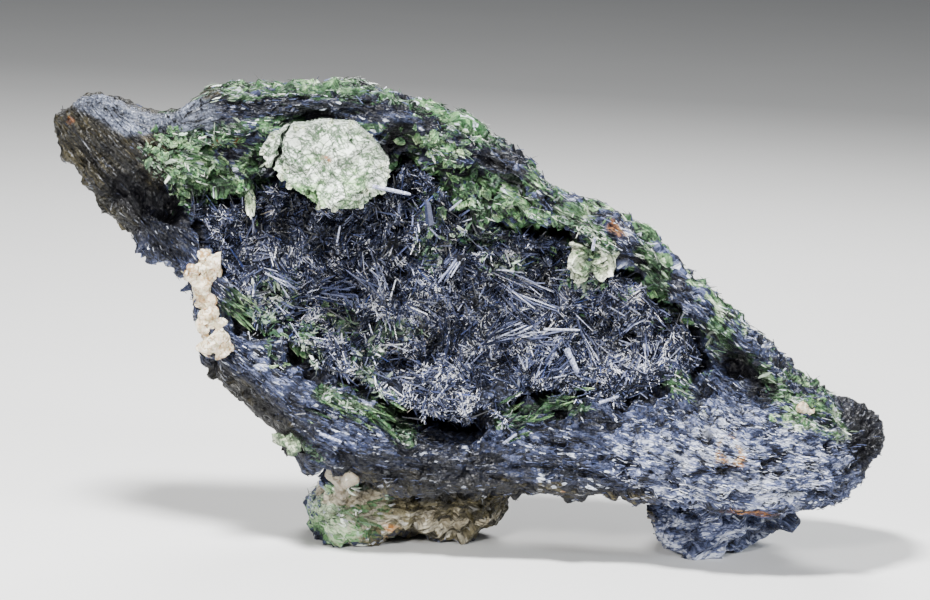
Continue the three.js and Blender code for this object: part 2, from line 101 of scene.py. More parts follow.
class Value:
    """A socket of a material's node tree, with arithmetic that adds Math nodes."""

    def __init__(self, tree, socket):
        self.tree = tree
        self.socket = socket

    def node(self, kind, settings=None, **inputs):
        return add_node(self.tree, kind, settings, **inputs)

    def fed(self, output, kind, settings=None, **inputs):
        """The named or numbered output of a new node, as a value."""
        return Value(self.tree, self.node(kind, settings, **inputs).outputs[output])

    def math(self, operation, *values):
        return self.fed(0, "ShaderNodeMath", {"operation": operation},
                        **{f"_{i}": value for i, value in enumerate(values)})

    def size(self):
        """The value without its sign."""
        return self.math("ABSOLUTE", self)

    def __add__(self, other): return self.math("ADD", self, other)
    def __radd__(self, other): return self.math("ADD", other, self)
    def __sub__(self, other): return self.math("SUBTRACT", self, other)
    def __rsub__(self, other): return self.math("SUBTRACT", other, self)
    def __mul__(self, other): return self.math("MULTIPLY", self, other)
    def __rmul__(self, other): return self.math("MULTIPLY", other, self)

    def above(self, low, high):
        """0 below low, 1 above high, with a straight slope between."""
        return self.fed("Result", "ShaderNodeMapRange", {"clamp": True}, Value=self, From_Min=low, From_Max=high)

    def mix(self, colour_a, colour_b):
        """colour_a where this value is 0, colour_b where it is 1."""
        return self.fed(2, "ShaderNodeMix", {"data_type": "RGBA"}, _0=self, _6=colour_a, _7=colour_b)


def start(material):
    """The object's own coordinates, as the first value of a material."""
    tree = material.node_tree
    place = tree.nodes.new("ShaderNodeTexCoord")
    return Value(tree, place.outputs["Object"])


def scaled(place, size_mm, stretch=(1, 1, 1), turn=0.0):
    """Coordinates in units of a size in millimetres, longer along a turned axis."""
    turned = place.fed(0, "ShaderNodeMapping", Vector=place, Rotation=(0, turn, 0))
    return turned.fed(0, "ShaderNodeMapping", Vector=turned, Scale=tuple(1 / (size_mm * MM * s) for s in stretch))


def lumps(place, size_mm, detail=2.0, roughness=0.55, stretch=(1, 1, 1), turn=0.0):
    """Noise from 0 to 1 with lumps of a size in millimetres."""
    return place.fed(0, "ShaderNodeTexNoise", {"noise_dimensions": "3D"}, Scale=1.0, Detail=detail,
                     Roughness=roughness, Vector=scaled(place, size_mm, stretch, turn))


def line_of(place, size_mm, low, high, *shape):
    """0 on thin wandering lines, where noise crosses its middle, and 1 away from them."""
    return (lumps(place, size_mm, *shape) - 0.5).size().above(low, high)


def facets(place, size_mm, stretch=(1, 1, 1), turn=0.0, wander=0.0):
    """Broken cells of a size in millimetres: each cell's random tone, and the height of its tilted face."""
    spot = scaled(place, size_mm, stretch, turn)
    if wander:
        drift = place.fed("Color", "ShaderNodeTexNoise", Vector=spot, Scale=0.9, Detail=2.0)
        spot = place.fed(0, "ShaderNodeVectorMath", {"operation": "MULTIPLY_ADD"}, _0=drift,
                         _1=(wander, wander, wander), _2=spot)
    cell = place.node("ShaderNodeTexVoronoi", Vector=spot, Scale=1.0).outputs
    away = place.fed(0, "ShaderNodeVectorMath", {"operation": "SUBTRACT"}, _0=spot, _1=cell["Position"])
    tilt = place.fed(0, "ShaderNodeVectorMath", {"operation": "SUBTRACT"}, _0=cell["Color"], _1=(0.5, 0.5, 0.5))
    height = place.fed("Value", "ShaderNodeVectorMath", {"operation": "DOT_PRODUCT"}, _0=away, _1=tilt)
    return place.fed(0, "ShaderNodeSeparateColor", Color=cell["Color"]), height


def ramp(value, *stops):
    """A colour for each value: stops are (value, red, green, blue)."""
    made = value.node("ShaderNodeValToRGB", Fac=value)
    elements = made.color_ramp.elements
    while len(elements) < len(stops):
        elements.new(0.5)
    for element, (position, *colour) in zip(elements, stops):
        element.position = position
        element.color = (*colour, 1)
    return Value(value.tree, made.outputs["Color"])


def attribute(place, name, output="Fac"):
    return place.fed(output, "ShaderNodeAttribute", {"attribute_name": name})


def shaded(place, base, roughness, bumps=(), **fixed):
    """The Principled shader: base and roughness vary, fixed sockets take plain values, bumps are (height, mm)."""
    normal = {}
    for height, depth in bumps:
        normal = {"Normal": place.fed(0, "ShaderNodeBump", Strength=1.0, Distance=depth * MM, Height=height,
            **normal)}
    made = place.node("ShaderNodeBsdfPrincipled", Base_Color=base, Roughness=roughness, **normal, **fixed)
    end = place.tree.nodes.new("ShaderNodeOutputMaterial")
    place.tree.links.new(made.outputs[0], end.inputs["Surface"])


table_material = new_material("pale_table")
place = start(table_material)
shaded(place, lumps(place, 40, 3).mix((0.78, 0.78, 0.77, 1), (0.82, 0.82, 0.81, 1)), 0.6,
       [(lumps(place, 0.6, 2), 0.01)])
bpy.ops.mesh.primitive_plane_add(size=6, location=(0, 0, 0))
table = bpy.context.object
table.name = "table_top"
table.data.materials.append(table_material)

world = bpy.data.worlds.new("soft_room")
scene.world = world
world.use_nodes = True
sky = world.node_tree.nodes["Background"].inputs
sky["Color"].default_value = (0.80, 0.84, 0.90, 1)
sky["Strength"].default_value = 0.11


def soft_light(name, size_mm, watts, where_mm, colour=(1, 1, 1)):
    data = bpy.data.lights.new(name, "AREA")
    data.shape = "RECTANGLE"
    data.size, data.size_y = (s * MM for s in size_mm)
    data.energy = watts
    data.color = colour
    light = bpy.data.objects.new(name, data)
    light.location = Vector(where_mm) * MM
    light.rotation_euler = (CAMERA_AIM - light.location).to_track_quat("-Z", "Y").to_euler()
    scene.collection.objects.link(light)


soft_light("top_light", (70, 50), 4.0, (-70, -130, 320))
soft_light("front_light", (40, 40), 1.6, (-120, -380, 190), (1, 0.98, 0.95))
soft_light("right_light", (50, 60), 1.0, (270, -220, 170), (0.92, 0.96, 1))
soft_light("back_light", (200, 80), 1.2, (60, 260, 240))

# ---------------------------------------------------------------- the schist
# A broken piece of blueschist: fine blue fibres pressed into leaves, with layers of green mica near the top
# rim, brown weathered layers in the horn at the left, and rust along its lower edges. One solid piece of rock.
SHIFT = np.array([0.569, 0.175, 0.0])  # from the outlines' millimetres to the frame's
SEAM = 2e-6  # corners closer than this, in metres, are one corner
LEAST_THICK = 22  # the rock's layers fan out as if it were nowhere thinner than this, from edge to edge
GRAIN_HEIGHT = 34  # the height of the whole stack of layers in the grain's own millimetres


def node_copy(name, new_name):
    """A merged copy of a CAD node's mesh as a new object."""
    copy = bpy.data.objects.new(new_name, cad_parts[name].data.copy())
    scene.collection.objects.link(copy)
    work = bmesh.new()
    work.from_mesh(copy.data)
    bmesh.ops.remove_doubles(work, verts=work.verts, dist=SEAM)
    work.to_mesh(copy.data)
    work.free()
    return copy


def applied(obj):
    """The object's mesh with its modifiers worked in, and the modifiers removed."""
    graph = bpy.context.evaluated_depsgraph_get()
    finished = bpy.data.meshes.new_from_object(obj.evaluated_get(graph))
    obj.modifiers.clear()
    obj.data = finished
    return obj


def remeshed(obj, voxel_mm):
    modifier = obj.modifiers.new("voxels", "REMESH")
    modifier.mode = "VOXEL"
    modifier.voxel_size = voxel_mm * MM
    return applied(obj)


def values_of(items, name, width, kind=float):
    values = np.empty(len(items) * width, dtype=kind)
    items.foreach_get(name, values)
    return values.reshape(-1, width)


def points_of(mesh):
    return values_of(mesh.vertices, "co", 3) / MM


def normals_of(mesh):
    return values_of(mesh.vertices, "normal", 3)


def edges_of(mesh):
    return values_of(mesh.edges, "vertices", 2, np.int64)


def smooth_points(points, edges, rounds, amount=0.5):
    """Each point moves towards the middle of its neighbours."""
    count = np.bincount(edges.ravel(), minlength=len(points)).astype(float)[:, None]
    for _ in range(rounds):
        total = np.zeros_like(points)
        for a, b in ((0, 1), (1, 0)):
            for axis in range(3):
                total[:, axis] += np.bincount(edges[:, a], points[edges[:, b], axis], minlength=len(points))
        points = points + amount * (total / count - points)
    return points


def put_points(mesh, points):
    mesh.vertices.foreach_set("co", (points * MM).ravel())
    mesh.update()


def field(points, size, seed=0.0):
    """Smooth noise from -1 to 1 at points in millimetres."""
    return np.array([noise.noise(p) for p in (points / size + seed).tolist()])


def chips(points, size, depth, seed):
    """Flat broken faces: each point is cut back by the tilted plane of the chip nearest to it."""
    random = np.random.default_rng(seed)
    low, high = points.min(0), points.max(0)
    count = int(np.prod((high - low) / size))
    seeds = low + random.random((count, 3)) * (high - low)
    tilt = random.normal(0, 1, (count, 3))
    tilt /= np.linalg.norm(tilt, axis=1)[:, None]
    level = random.random(count)
    tree = kdtree.KDTree(count)
    for i, s in enumerate(seeds.tolist()):
        tree.insert(s, i)
    tree.balance()
    nearest = np.array([tree.find(p)[1] for p in points.tolist()])
    slope = np.einsum("ij,ij->i", points - seeds[nearest], tilt[nearest]) / size
    return depth * (level[nearest] - 0.5 + 0.7 * slope)


def near(points, x, z, radius_x, radius_z=None, angle=0.0):
    """1 at [x, z] seen from the front, falling to 0 at the radii of an ellipse turned by an angle."""
    radius_z = radius_z or radius_x
    dx, dz = points[:, 0] - SHIFT[0] - x, points[:, 2] - z
    c, s = math.cos(math.radians(angle)), math.sin(math.radians(angle))
    u, v = dx * c + dz * s, dz * c - dx * s
    return np.clip(1.4 * (1 - np.sqrt((u / radius_x) ** 2 + (v / radius_z) ** 2)), 0, 1)


def step(value, low, high):
    t = np.clip((value - low) / (high - low), 0, 1)
    return t * t * (3 - 2 * t)


def soft_line(corners):
    """Heights and slopes along a line of [x, z] corners, with the corners rounded."""
    x = np.arange(-60, 60, 0.5)
    corners = np.array(corners)
    kernel = np.hanning(13) / np.hanning(13).sum()
    z = np.convolve(np.interp(x, corners[:, 0], corners[:, 1]), kernel, "same")
    return x, z, np.gradient(z, x)


TOP_LINE = soft_line([(-52, 54), (-44, 54.2), (-38, 52), (-32, 55.8), (-18, 56.7), (-8, 54.6), (2, 50.6), (15, 42.6),
                      (23, 37.3), (35, 27), (47.6, 19), (52, 15)])
LOW_LINE = soft_line([(-52, 50), (-46, 42.8), (-38, 34.6), (-33, 26), (-31, 19.7), (-22, 12.9), (-12, 9.4), (0, 9),
    (15, 8.2), (30, 7.6), (44, 8), (52, 14)])


def below_top(points):
    """How far, in millimetres, a point lies under the stone's upper edge."""
    return np.interp(points[:, 0] - SHIFT[0], *TOP_LINE[:2]) - points[:, 2]


def above_low(points):
    """How far a point lies over the stone's lower edge."""
    return points[:, 2] - np.interp(points[:, 0] - SHIFT[0], *LOW_LINE[:2])


def grain_of(points):
    """The rock's layers fan out from the lower edge to the upper one. Gives each point's place in them, along,
    through and across, in millimetres, and the direction that the fibres run in."""
    x = points[:, 0] - SHIFT[0]
    thick = np.maximum(above_low(points) + below_top(points), LEAST_THICK)
    share = above_low(points) / thick
    slope_low, slope_top = (np.interp(x, line[0], line[2]) for line in (LOW_LINE, TOP_LINE))
    slope = slope_low + np.clip(share, 0, 1) * (slope_top - slope_low)
    way = np.stack([np.ones(len(x)), np.zeros(len(x)), slope], axis=1)
    return np.stack([x, points[:, 1], GRAIN_HEIGHT * share], axis=1), way / np.linalg.norm(way, axis=1)[:, None]


def band(points, path, half_width, soft=0.8):
    """1 along a path of [x, z] points seen from the front, falling to 0 past its half width."""
    x, z = points[:, 0] - SHIFT[0], points[:, 2]
    nearest = np.full(len(points), np.inf)
    for (ax, az), (bx, bz) in zip(path, path[1:]):
        t = np.clip(((x - ax) * (bx - ax) + (z - az) * (bz - az)) / ((bx - ax) ** 2 + (bz - az) ** 2), 0, 1)
        nearest = np.minimum(nearest, np.hypot(x - ax - t * (bx - ax), z - az - t * (bz - az)))
    return 1 - step(nearest, half_width, half_width + soft)


LUMPS = [(2.6, 43.4), (0, 41), (7.5, 41.2), (-3.3, 47.9), (-4.3, 43.6), (3.9, 39.2), (-6, 39.2)]
SADDLE = [(-47.5, 54.4), (-44.5, 53), (-41.2, 51.2), (-36.4, 51.7), (-33.2, 52.3)]
STRANDS = ([(-29.9, 29.5), (-27.2, 27.9), (-24.6, 26)], [(-18.3, 19.9), (-15.5, 18.7), (-12.5, 17.4), (-9.8, 15.3),
    (-7.5, 13.8)], [(2.8, 16.4), (6.1, 17.8), (9.1, 18.6), (13, 19)], [(-33.4, 55.0), (-24, 56.6)])
BLUE_LAYER = [(-31, 52.8), (-22, 53.6), (-12, 53.0), (-6, 51.4), (2, 47.6)]


def rock_zones(points):
    """The zones of the rock, each from 0 to 1 over its surface. The horn is its brown upper left end, the saddle
    the gritty strip along the top of that, the nose the recess at the far right, painted dark as shade, the feet
    the two lumps below, and the pockets holes, also painted dark as shade. The shade zone is painted shade on the
    lower left flank and under the lower rim, two spots are painted shadow, in the cavity under the horn and at the
    top of the terrace, and the dark zone holds darker rock together with this painted shade. The others are named
    after what they look like."""
    def at(*ellipse):
        return near(points, *ellipse)

    def share(value):
        return np.clip(value, 0, 1)

    x, y, z = (points - SHIFT).T
    wobble = field(points, 4, 3.1)
    fine = field(points, 1.6, 8.3)
    down = below_top(points) + 1.0 * wobble
    up = above_low(points) + wobble
    front = step(-y, -4, 0)
    foot = step(7.6 + 1.2 * wobble - z, 0, 1.5)
    shade = share(1.3 * at(-26, 18, 12, 4.6, -42) + at(-3, 10.5, 20, 3.4, -3))
    left_foot = foot * step(16 - x, 0, 3)
    saddle = band(points, SADDLE, 1.3 + 0.4 * wobble) * step(-y, -1, 2)
    blue = band(points, BLUE_LAYER, 0.9 + 0.5 * wobble, 0.5) * step(-y, 0, 3)
    horn = step(-37 + 0.55 * (z - 45) - x + 1.2 * wobble, -1, 1.5) * (1 - saddle)
    rim = step(4.4 - down, 0, 1.5) * step(x, -36, -33) * step(10 - x, 0, 8)
    terrace = step(18 + 2 * wobble - down, 0, 4) * step(x, -42, -36) * step(34 - x, 0, 14) * step(up, 9, 14)
    right_rim = step(7 - down, 0, 3) * step(x, -4, 6)
    nose = step(x - np.interp(z, [11.9, 13.6, 17.1, 20.1, 24], [46.5, 46, 44.7, 43.3, 40]), -0.3, 0.5) * step(z, 10,
        12)
    # Two spots of painted shadow: the cavity under the horn and the top of the terrace under the rim.
    painted_shadow = at(-38.5, 39.5, 7.5, 3.6, -45) + at(2.9, 48.2, 4.4, 2.4, -28)
    # Darker rock (the horn, the blue layer, random patches) together with painted shade on the nose, the two painted
    # shadows, the strip under the lower rim and the lower left flank.
    dark = share(horn * 0.6 + 1.8 * nose + 1.6 * painted_shadow + 0.95 * at(-2, 11, 22, 4.6, -3)
                 + 0.9 * at(-25.5, 17, 12, 4.6, -42) + 0.9 * blue + 0.6 * at(40, 24, 9, 3, -34)
                 + 0.5 * step(wobble, 0.1, 0.5))
    # Pockets: holes pushed into the rock, which are also painted dark as shade.
    pockets = at(-10.2, 50.6, 2.6, 2.6) + at(3.6, 45.4, 2.4, 1.0, -25) + at(-1.6, 41.2, 1.6, 1.0) + at(8, 37.6, 3,
        1.6)
    pockets *= np.clip(0.9 + 0.9 * wobble + 0.5 * fine, 0, 1.3)
    pockets += 1.3 * at(-41.0, 42.4, 4.6, 2.2, -38) + at(31.5, 24.5, 5.5, 2.4, -38)
    green = (rim * step(fine + 0.45 * wobble, -0.6, 0.1)
             + 0.85 * terrace * step(wobble + 0.6 * fine, -0.35, 0.2) * front
             + 0.75 * right_rim * step(fine + wobble, -0.35, 0.35)
             + at(-36, 47.5, 6, 4.6) + at(-32, 43.8, 5, 3)
             + 0.9 * at(-29, 49.4, 4, 2) * step(fine, -0.3, 0.2)
             + 1.2 * at(39.5, 19.8, 8, 3, -18) * step(fine, -0.3, 0.3)
             + 0.6 * at(-20, 13.6, 5, 1.6, -34) + 1.3 * at(-13.6, 4.2, 8, 5)
             + 0.5 * step(y, 5, 10) * step(wobble + 0.4 * fine, 0.1, 0.4))
    green = share(green) * (1 - saddle) * (1 - 0.9 * blue) * (1 - share(nose + painted_shadow))
    strands = sum(band(points, path, 0.35 + 0.3 * wobble, 0.6) for path in STRANDS)
    green = share(green + strands)
    bright_green = share(at(-36, 48.5, 4, 3) + at(-2.5, 52, 9, 1.8, -24) + at(4, 43, 6, 2.4, -30)
                         + 1.3 * at(-15.6, 2.6, 6, 3) + 0.8 * at(-5, 48, 2.4, 5)
                         + at(-15.6, 7.2, 4, 1.6) + 0.7 * at(14, 38.6, 5, 2, -40)) * (1 - saddle)
    pale = share(1.7 * at(-14, 4, 9, 5) + 0.5 * at(-3, 3.4, 7, 4) + 0.75 * right_rim * step(fine, 0.0, 0.45)
                 + 0.5 * rim * step(fine, 0.15, 0.5)
                 + 1.9 * at(31, 14, 17, 7.5, 2) * step(fine, -0.5, 0.1)
                 + 0.7 * at(-24.5, 22.6, 7, 2, -36) * step(fine, -0.3, 0.3)
                 + 2.2 * at(29, 2.0, 9, 4.0) * step(fine, -0.6, 0.2))
    brown = share(horn + 0.9 * at(-3, 4, 8, 3.6)
                  + 1.5 * at(-26.5, 17, 9, 4.0, -40) * step(5 - up, 0, 2)
                  + 0.6 * step(2.4 - up, 0, 1) * step(x, -22, -10) * step(26 - x, 0, 6)
                  + 0.55 * step(y, 7, 12) * step(-wobble + 0.4 * fine, 0.12, 0.5))
    cream = share(1.2 * at(-3.6, 3, 5, 3) * step(fine, -0.4, 0.2)
                  + 2.0 * at(-15.6, 6.8, 6, 2.0) * step(fine, -0.6, 0.0) + 0.8 * at(2.4, 3.4, 2.4, 1))
    rust = share(1.5 * at(30.2, 15.2, 2.6, 3.2) * step(fine, -0.2, 0.2) + at(-48.6, 51.2, 0.9)
                 + 0.9 * at(33, 7.6, 7, 0.9, 0) + 0.55 * at(12, 9.2, 14, 1.5, 4) * step(fine, 0, 0.4)
                 + 0.9 * at(-30.4, 48.9, 4.5, 2) * step(fine, -0.1, 0.2) + 0.8 * at(16, 40.4, 3, 1.4, -38)
                 + at(-10, 2.4, 3, 1.4) * step(fine, -0.2, 0.1))
    return {
        "foot": foot, "green": green, "bright_green": bright_green, "pale": pale, "saddle": share(saddle),
        "brown": brown, "cream": cream * left_foot, "rust": rust, "horn": horn, "dark": dark, "nose": nose,
        "shade": shade, "pockets": share(pockets) * front,
    }


ROCK_VOXEL, CRUST_VOXEL, TUFT_VOXEL, GRAIN_VOXEL = 0.41, 0.4, 0.2, 0.22  # millimetres
stone = remeshed(node_copy("schist_matrix", "schist"), ROCK_VOXEL)
points = smooth_points(points_of(stone.data), edges_of(stone.data), 3)
put_points(stone.data, points)
normals = normals_of(stone.data)
zones = rock_zones(points)
place_in_grain = grain_of(points)[0]

# Thin leaves show as ridges that run with the grain: noise squeezed across it. Between them the rock breaks
# in flat chips, largest on the hollow's upper wall.
squeezed = place_in_grain / (5.0, 1.6, 0.7)
leaves = field(squeezed, 1)
coarse = field(squeezed * 0.42, 1, 7)
layered = 1 + 0.5 * zones["horn"] - 0.6 * zones["saddle"] - 0.65 * zones["foot"]
moved = (0.55 * leaves + 0.75 * coarse) * layered + chips(points, 2.6, 0.8, 4) + chips(points, 1.3, 0.4, 9)
moved += 0.4 * field(points, 0.9, 2.2)
wall = step(below_top(points), 4, 7) * step(points[:, 1] - SHIFT[1], -7, -5) * step(-normals[:, 1], 0, 0.3)
moved += wall * (1.2 * field(points, 2.6, 6.6) + chips(points, 2.8, 2.2, 14))
moved += 1.4 * sum(near(points, x, z, 2.3, 1.7) for x, z in LUMPS) + 1.3 * near(points, -28.5, 49.8, 5, 2.6)
moved -= 1.4 * zones["pockets"]
moved *= 1 - 0.5 * zones["saddle"]
in_floor = step(points[:, 1] - SHIFT[1], -6.5, -3) * step(-normals[:, 1], 0.1, 0.4) * step(above_low(points), 5, 7)
moved *= 1 - 0.5 * step(3 - below_top(points), 0, 2) * zones["horn"]
moved *= 1 - 0.45 * np.clip(zones["horn"] + near(points, -26.5, 17, 11, 6, -40), 0, 1)
moved *= 1 - 0.35 * zones["foot"] - 0.45 * zones["nose"]
moved -= 0.35 + 1.0 * in_floor + 1.1 * zones["nose"] * step(-normals[:, 1], 0.2, 0.6)
points = points + normals * moved[:, None]
lowered = 0.5 + 0.15 * np.clip(points[:, 1] - 1, 0, 9) + 0.6 * step(points[:, 0], 25, 45)
points[:, 2] -= lowered * step(7 - below_top(points), 0, 5) * step(points[:, 0], -38, -32)
points = smooth_points(points, edges_of(stone.data), 1, 0.2)
low_mm, high_mm = np.array(cad_low) / MM, np.array(cad_high) / MM
margin = 0.02
points = np.clip(points, low_mm + margin, high_mm - margin)
points[:, 2] = np.maximum(points[:, 2], 0.0)
put_points(stone.data, points)
zones = rock_zones(points)


def add_attributes(mesh, values):
    for name, value in values.items():
        mesh.attributes.new(name, "FLOAT", "POINT").data.foreach_set("value", value.astype(np.float32))


def add_vectors(mesh, name, values):
    mesh.attributes.new(name, "FLOAT_VECTOR", "POINT").data.foreach_set("vector", values.astype(np.float32).ravel())


def only_material(piece, material):
    piece.data.materials.clear()
    piece.data.materials.append(material)


# Painted shade: the rock's colour goes towards black where it was pushed in deep, in the pockets, on the shaded flank
# and under the lower rim; the feet, the green zones and one spot at the upper left are spared.
lit = np.maximum(0.75 * zones["foot"], 0.62 * zones["green"] + 0.9 * near(points, -28.5, 49.8, 5, 2.6)).clip(0, 1)
painted_shading = np.maximum(step(moved, -1.5, -0.1), lit) * (1 - 0.9 * zones["pockets"])
painted_shading *= 1 - 0.4 * zones["shade"] * (1 - zones["foot"])
# Painted shade in the gap over the left foot, under the lower rim.
painted_shading *= 1 - 0.65 * near(points, -7, 7.6, 10, 2.2)
add_attributes(stone.data, {**zones, "painted_shading": painted_shading})
add_vectors(stone.data, "grain", place_in_grain * MM)

schist = new_material("schist")
place = start(schist)
grain = attribute(place, "grain", "Vector")
lath_tone, lath_height = facets(grain, 0.55, (4.2, 1.5, 1.0), wander=0.35)
fine_tone, fine_height = facets(grain, 0.22, (3.2, 1.4, 1.0), wander=0.4)
speck_tone, speck_height = facets(place, 0.2, wander=0.8)
patches = lumps(grain, 3.2, 3, 0.6, (2.4, 1, 1))
tone = (0.36 * lath_tone + 0.42 * fine_tone + 1.1 * patches + 0.42 * attribute(place, "pale")
        - 0.26 * attribute(place, "dark") - 0.5)
split = (lumps(grain, 2.6, 3, 0.55, (3.6, 1, 1)) - 0.5).size()
split_line = (split + 0.016 * attribute(place, "foot")).above(0.004, 0.024)
fine_line = line_of(grain, 0.9, 0.0, 0.03, 2, 0.55, (3.0, 1, 1))
blue = ramp(tone, (0.1, 0.004, 0.005, 0.010), (0.35, 0.018, 0.023, 0.052), (0.58, 0.058, 0.074, 0.155),
            (0.8, 0.19, 0.22, 0.37), (1.0, 0.62, 0.66, 0.80))
green = ramp(tone + 0.05, (0.1, 0.005, 0.012, 0.006), (0.35, 0.024, 0.064, 0.027), (0.58, 0.070, 0.165, 0.066),
             (0.8, 0.20, 0.34, 0.16), (1.0, 0.60, 0.72, 0.52))
brown = ramp(tone, (0.05, 0.005, 0.005, 0.003), (0.3, 0.020, 0.017, 0.008), (0.55, 0.062, 0.052, 0.024),
             (0.8, 0.17, 0.145, 0.08), (1.0, 0.40, 0.37, 0.29))
scatter = 0.5 * (fine_tone - 0.5) + 0.4 * (lath_tone - 0.5)
colour = (attribute(place, "green") + scatter).above(0.45, 0.55).mix(blue, green)
bright = ramp(tone, (0.1, 0.008, 0.030, 0.010), (0.4, 0.040, 0.125, 0.042), (0.7, 0.16, 0.31, 0.13),
    (1.0, 0.52, 0.64, 0.42))
colour = (attribute(place, "bright_green") + scatter).above(0.45, 0.6).mix(colour, bright)
colour = (attribute(place, "brown") + 0.7 * scatter).above(0.4, 0.6).mix(colour, brown)
cream = ramp(tone, (0.1, 0.07, 0.055, 0.03), (0.5, 0.34, 0.29, 0.19), (0.9, 0.66, 0.60, 0.46))
colour = (attribute(place, "cream") + 0.6 * scatter).above(0.4, 0.6).mix(colour, cream)
grit = ramp(0.75 * speck_tone + 0.5 * (patches - 0.3), (0.0, 0.030, 0.035, 0.052), (0.5, 0.145, 0.165, 0.23),
            (0.8, 0.29, 0.33, 0.43), (1.0, 0.66, 0.70, 0.80))
colour = attribute(place, "saddle").mix(colour, grit)
rusty = ramp(tone, (0.1, 0.03, 0.010, 0.004), (0.45, 0.13, 0.045, 0.014), (0.8, 0.36, 0.16, 0.05),
    (1.0, 0.6, 0.42, 0.24))
colour = (attribute(place, "rust") + 0.6 * scatter).above(0.5, 0.8).mix(colour, rusty)
colour = (split_line * (0.35 + 0.65 * fine_line) * (1 - 0.35 * attribute(place, "dark"))).mix((0.004, 0.004, 0.006,
    1), colour)
# Painted highlights: a few small cells, away from the brown zone, painted pale blue-white as glints.
colour = (fine_tone.above(0.93, 0.94) * lath_tone.above(0.4, 0.45) * (1 - 0.8 * attribute(place, "brown"))).mix(
    colour, (0.60, 0.64, 0.74, 1))
# Painted shade: the colour goes towards black in the recesses, pockets and shaded places marked on the stone, and in
# the nose's recess.
colour = (attribute(place, "painted_shading") * (1 - 0.6 * attribute(place, "nose"))).mix((0.003, 0.003, 0.005, 1), colour)
shaded(place, colour, 0.62 - 0.35 * fine_tone,
       [(split_line, 0.25), (lath_height * (1 - 0.7 * attribute(place, "foot")), 0.7), (fine_height, 0.35),
        (speck_height, 0.16)], IOR=1.38)
only_material(stone, schist)
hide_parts("schist_matrix")
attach(stone, "root")

# ---------------------------------------------------------------- the crust
# A skin of dark blue glaucophane over the hollow's floor, lumpy where coarse prisms lie in it. It is one
# crystal crust grown on the rock, and the fine needles grow out of it.
glaucophane = new_material("glaucophane")
place = start(glaucophane)
grain_tone, grain_height = facets(place, 0.45, (1, 1, 2.4), 0.6, wander=0.5)
speck_tone, speck_height = facets(place, 0.22)
colour = ramp(0.6 * grain_tone + 0.4 * speck_tone, (0.3, 0.003, 0.003, 0.005), (0.6, 0.012, 0.014, 0.024),
    (0.8, 0.04, 0.046, 0.075), (0.95, 0.16, 0.18, 0.25))
# Painted shade: the gaps between the crust's clumps go towards black.
colour = attribute(place, "painted_shading").mix((0.002, 0.002, 0.003, 1), colour)
shaded(place, colour, 0.8 - 0.3 * speck_tone, [(grain_height, 0.4), (speck_height, 0.15)], IOR=1.25)

crust = remeshed(node_copy("glaucophane_crust", "crust_skin"), CRUST_VOXEL)
crust_points = smooth_points(points_of(crust.data), edges_of(crust.data), 3)
put_points(crust.data, crust_points)
crust_normals = normals_of(crust.data)
facing = step(-crust_normals[:, 1], 0.15, 0.5)
clumps = field(crust_points, 1.9, 3.5) + 0.5 * field(crust_points, 0.9, 1.7)
gaps = step(-clumps, 0.15, 0.45)
crust_moved = 1.6 * field(crust_points, 5.0, 5.5) + 0.9 * clumps - 1.3 * gaps - 0.3
crust_moved = np.maximum(crust_moved, -1.2)
crust_points = crust_points + crust_normals * (crust_moved * facing)[:, None]
put_points(crust.data, crust_points)
# The gaps are pushed in and marked for painted shade in the material.
add_attributes(crust.data, {"painted_shading": 1 - gaps})
only_material(crust, glaucophane)
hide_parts("glaucophane_crust")
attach(crust, "root")

# ---------------------------------------------------------------- needles of the hollow
# Thousands of slender glaucophane prisms, from a fifth of a millimetre to three long, lie and lean every way
# over the crust. The small ones have three sides, the long ones of the sprays four, and all are dark blue
# and flash pale where a face meets the light; the palest tones are also painted near white as glints.


MM2_IN_M2 = 1e6
DRIFTS_PER_METRE = 350.0  # the tone drifts from light to dark over about three millimetres


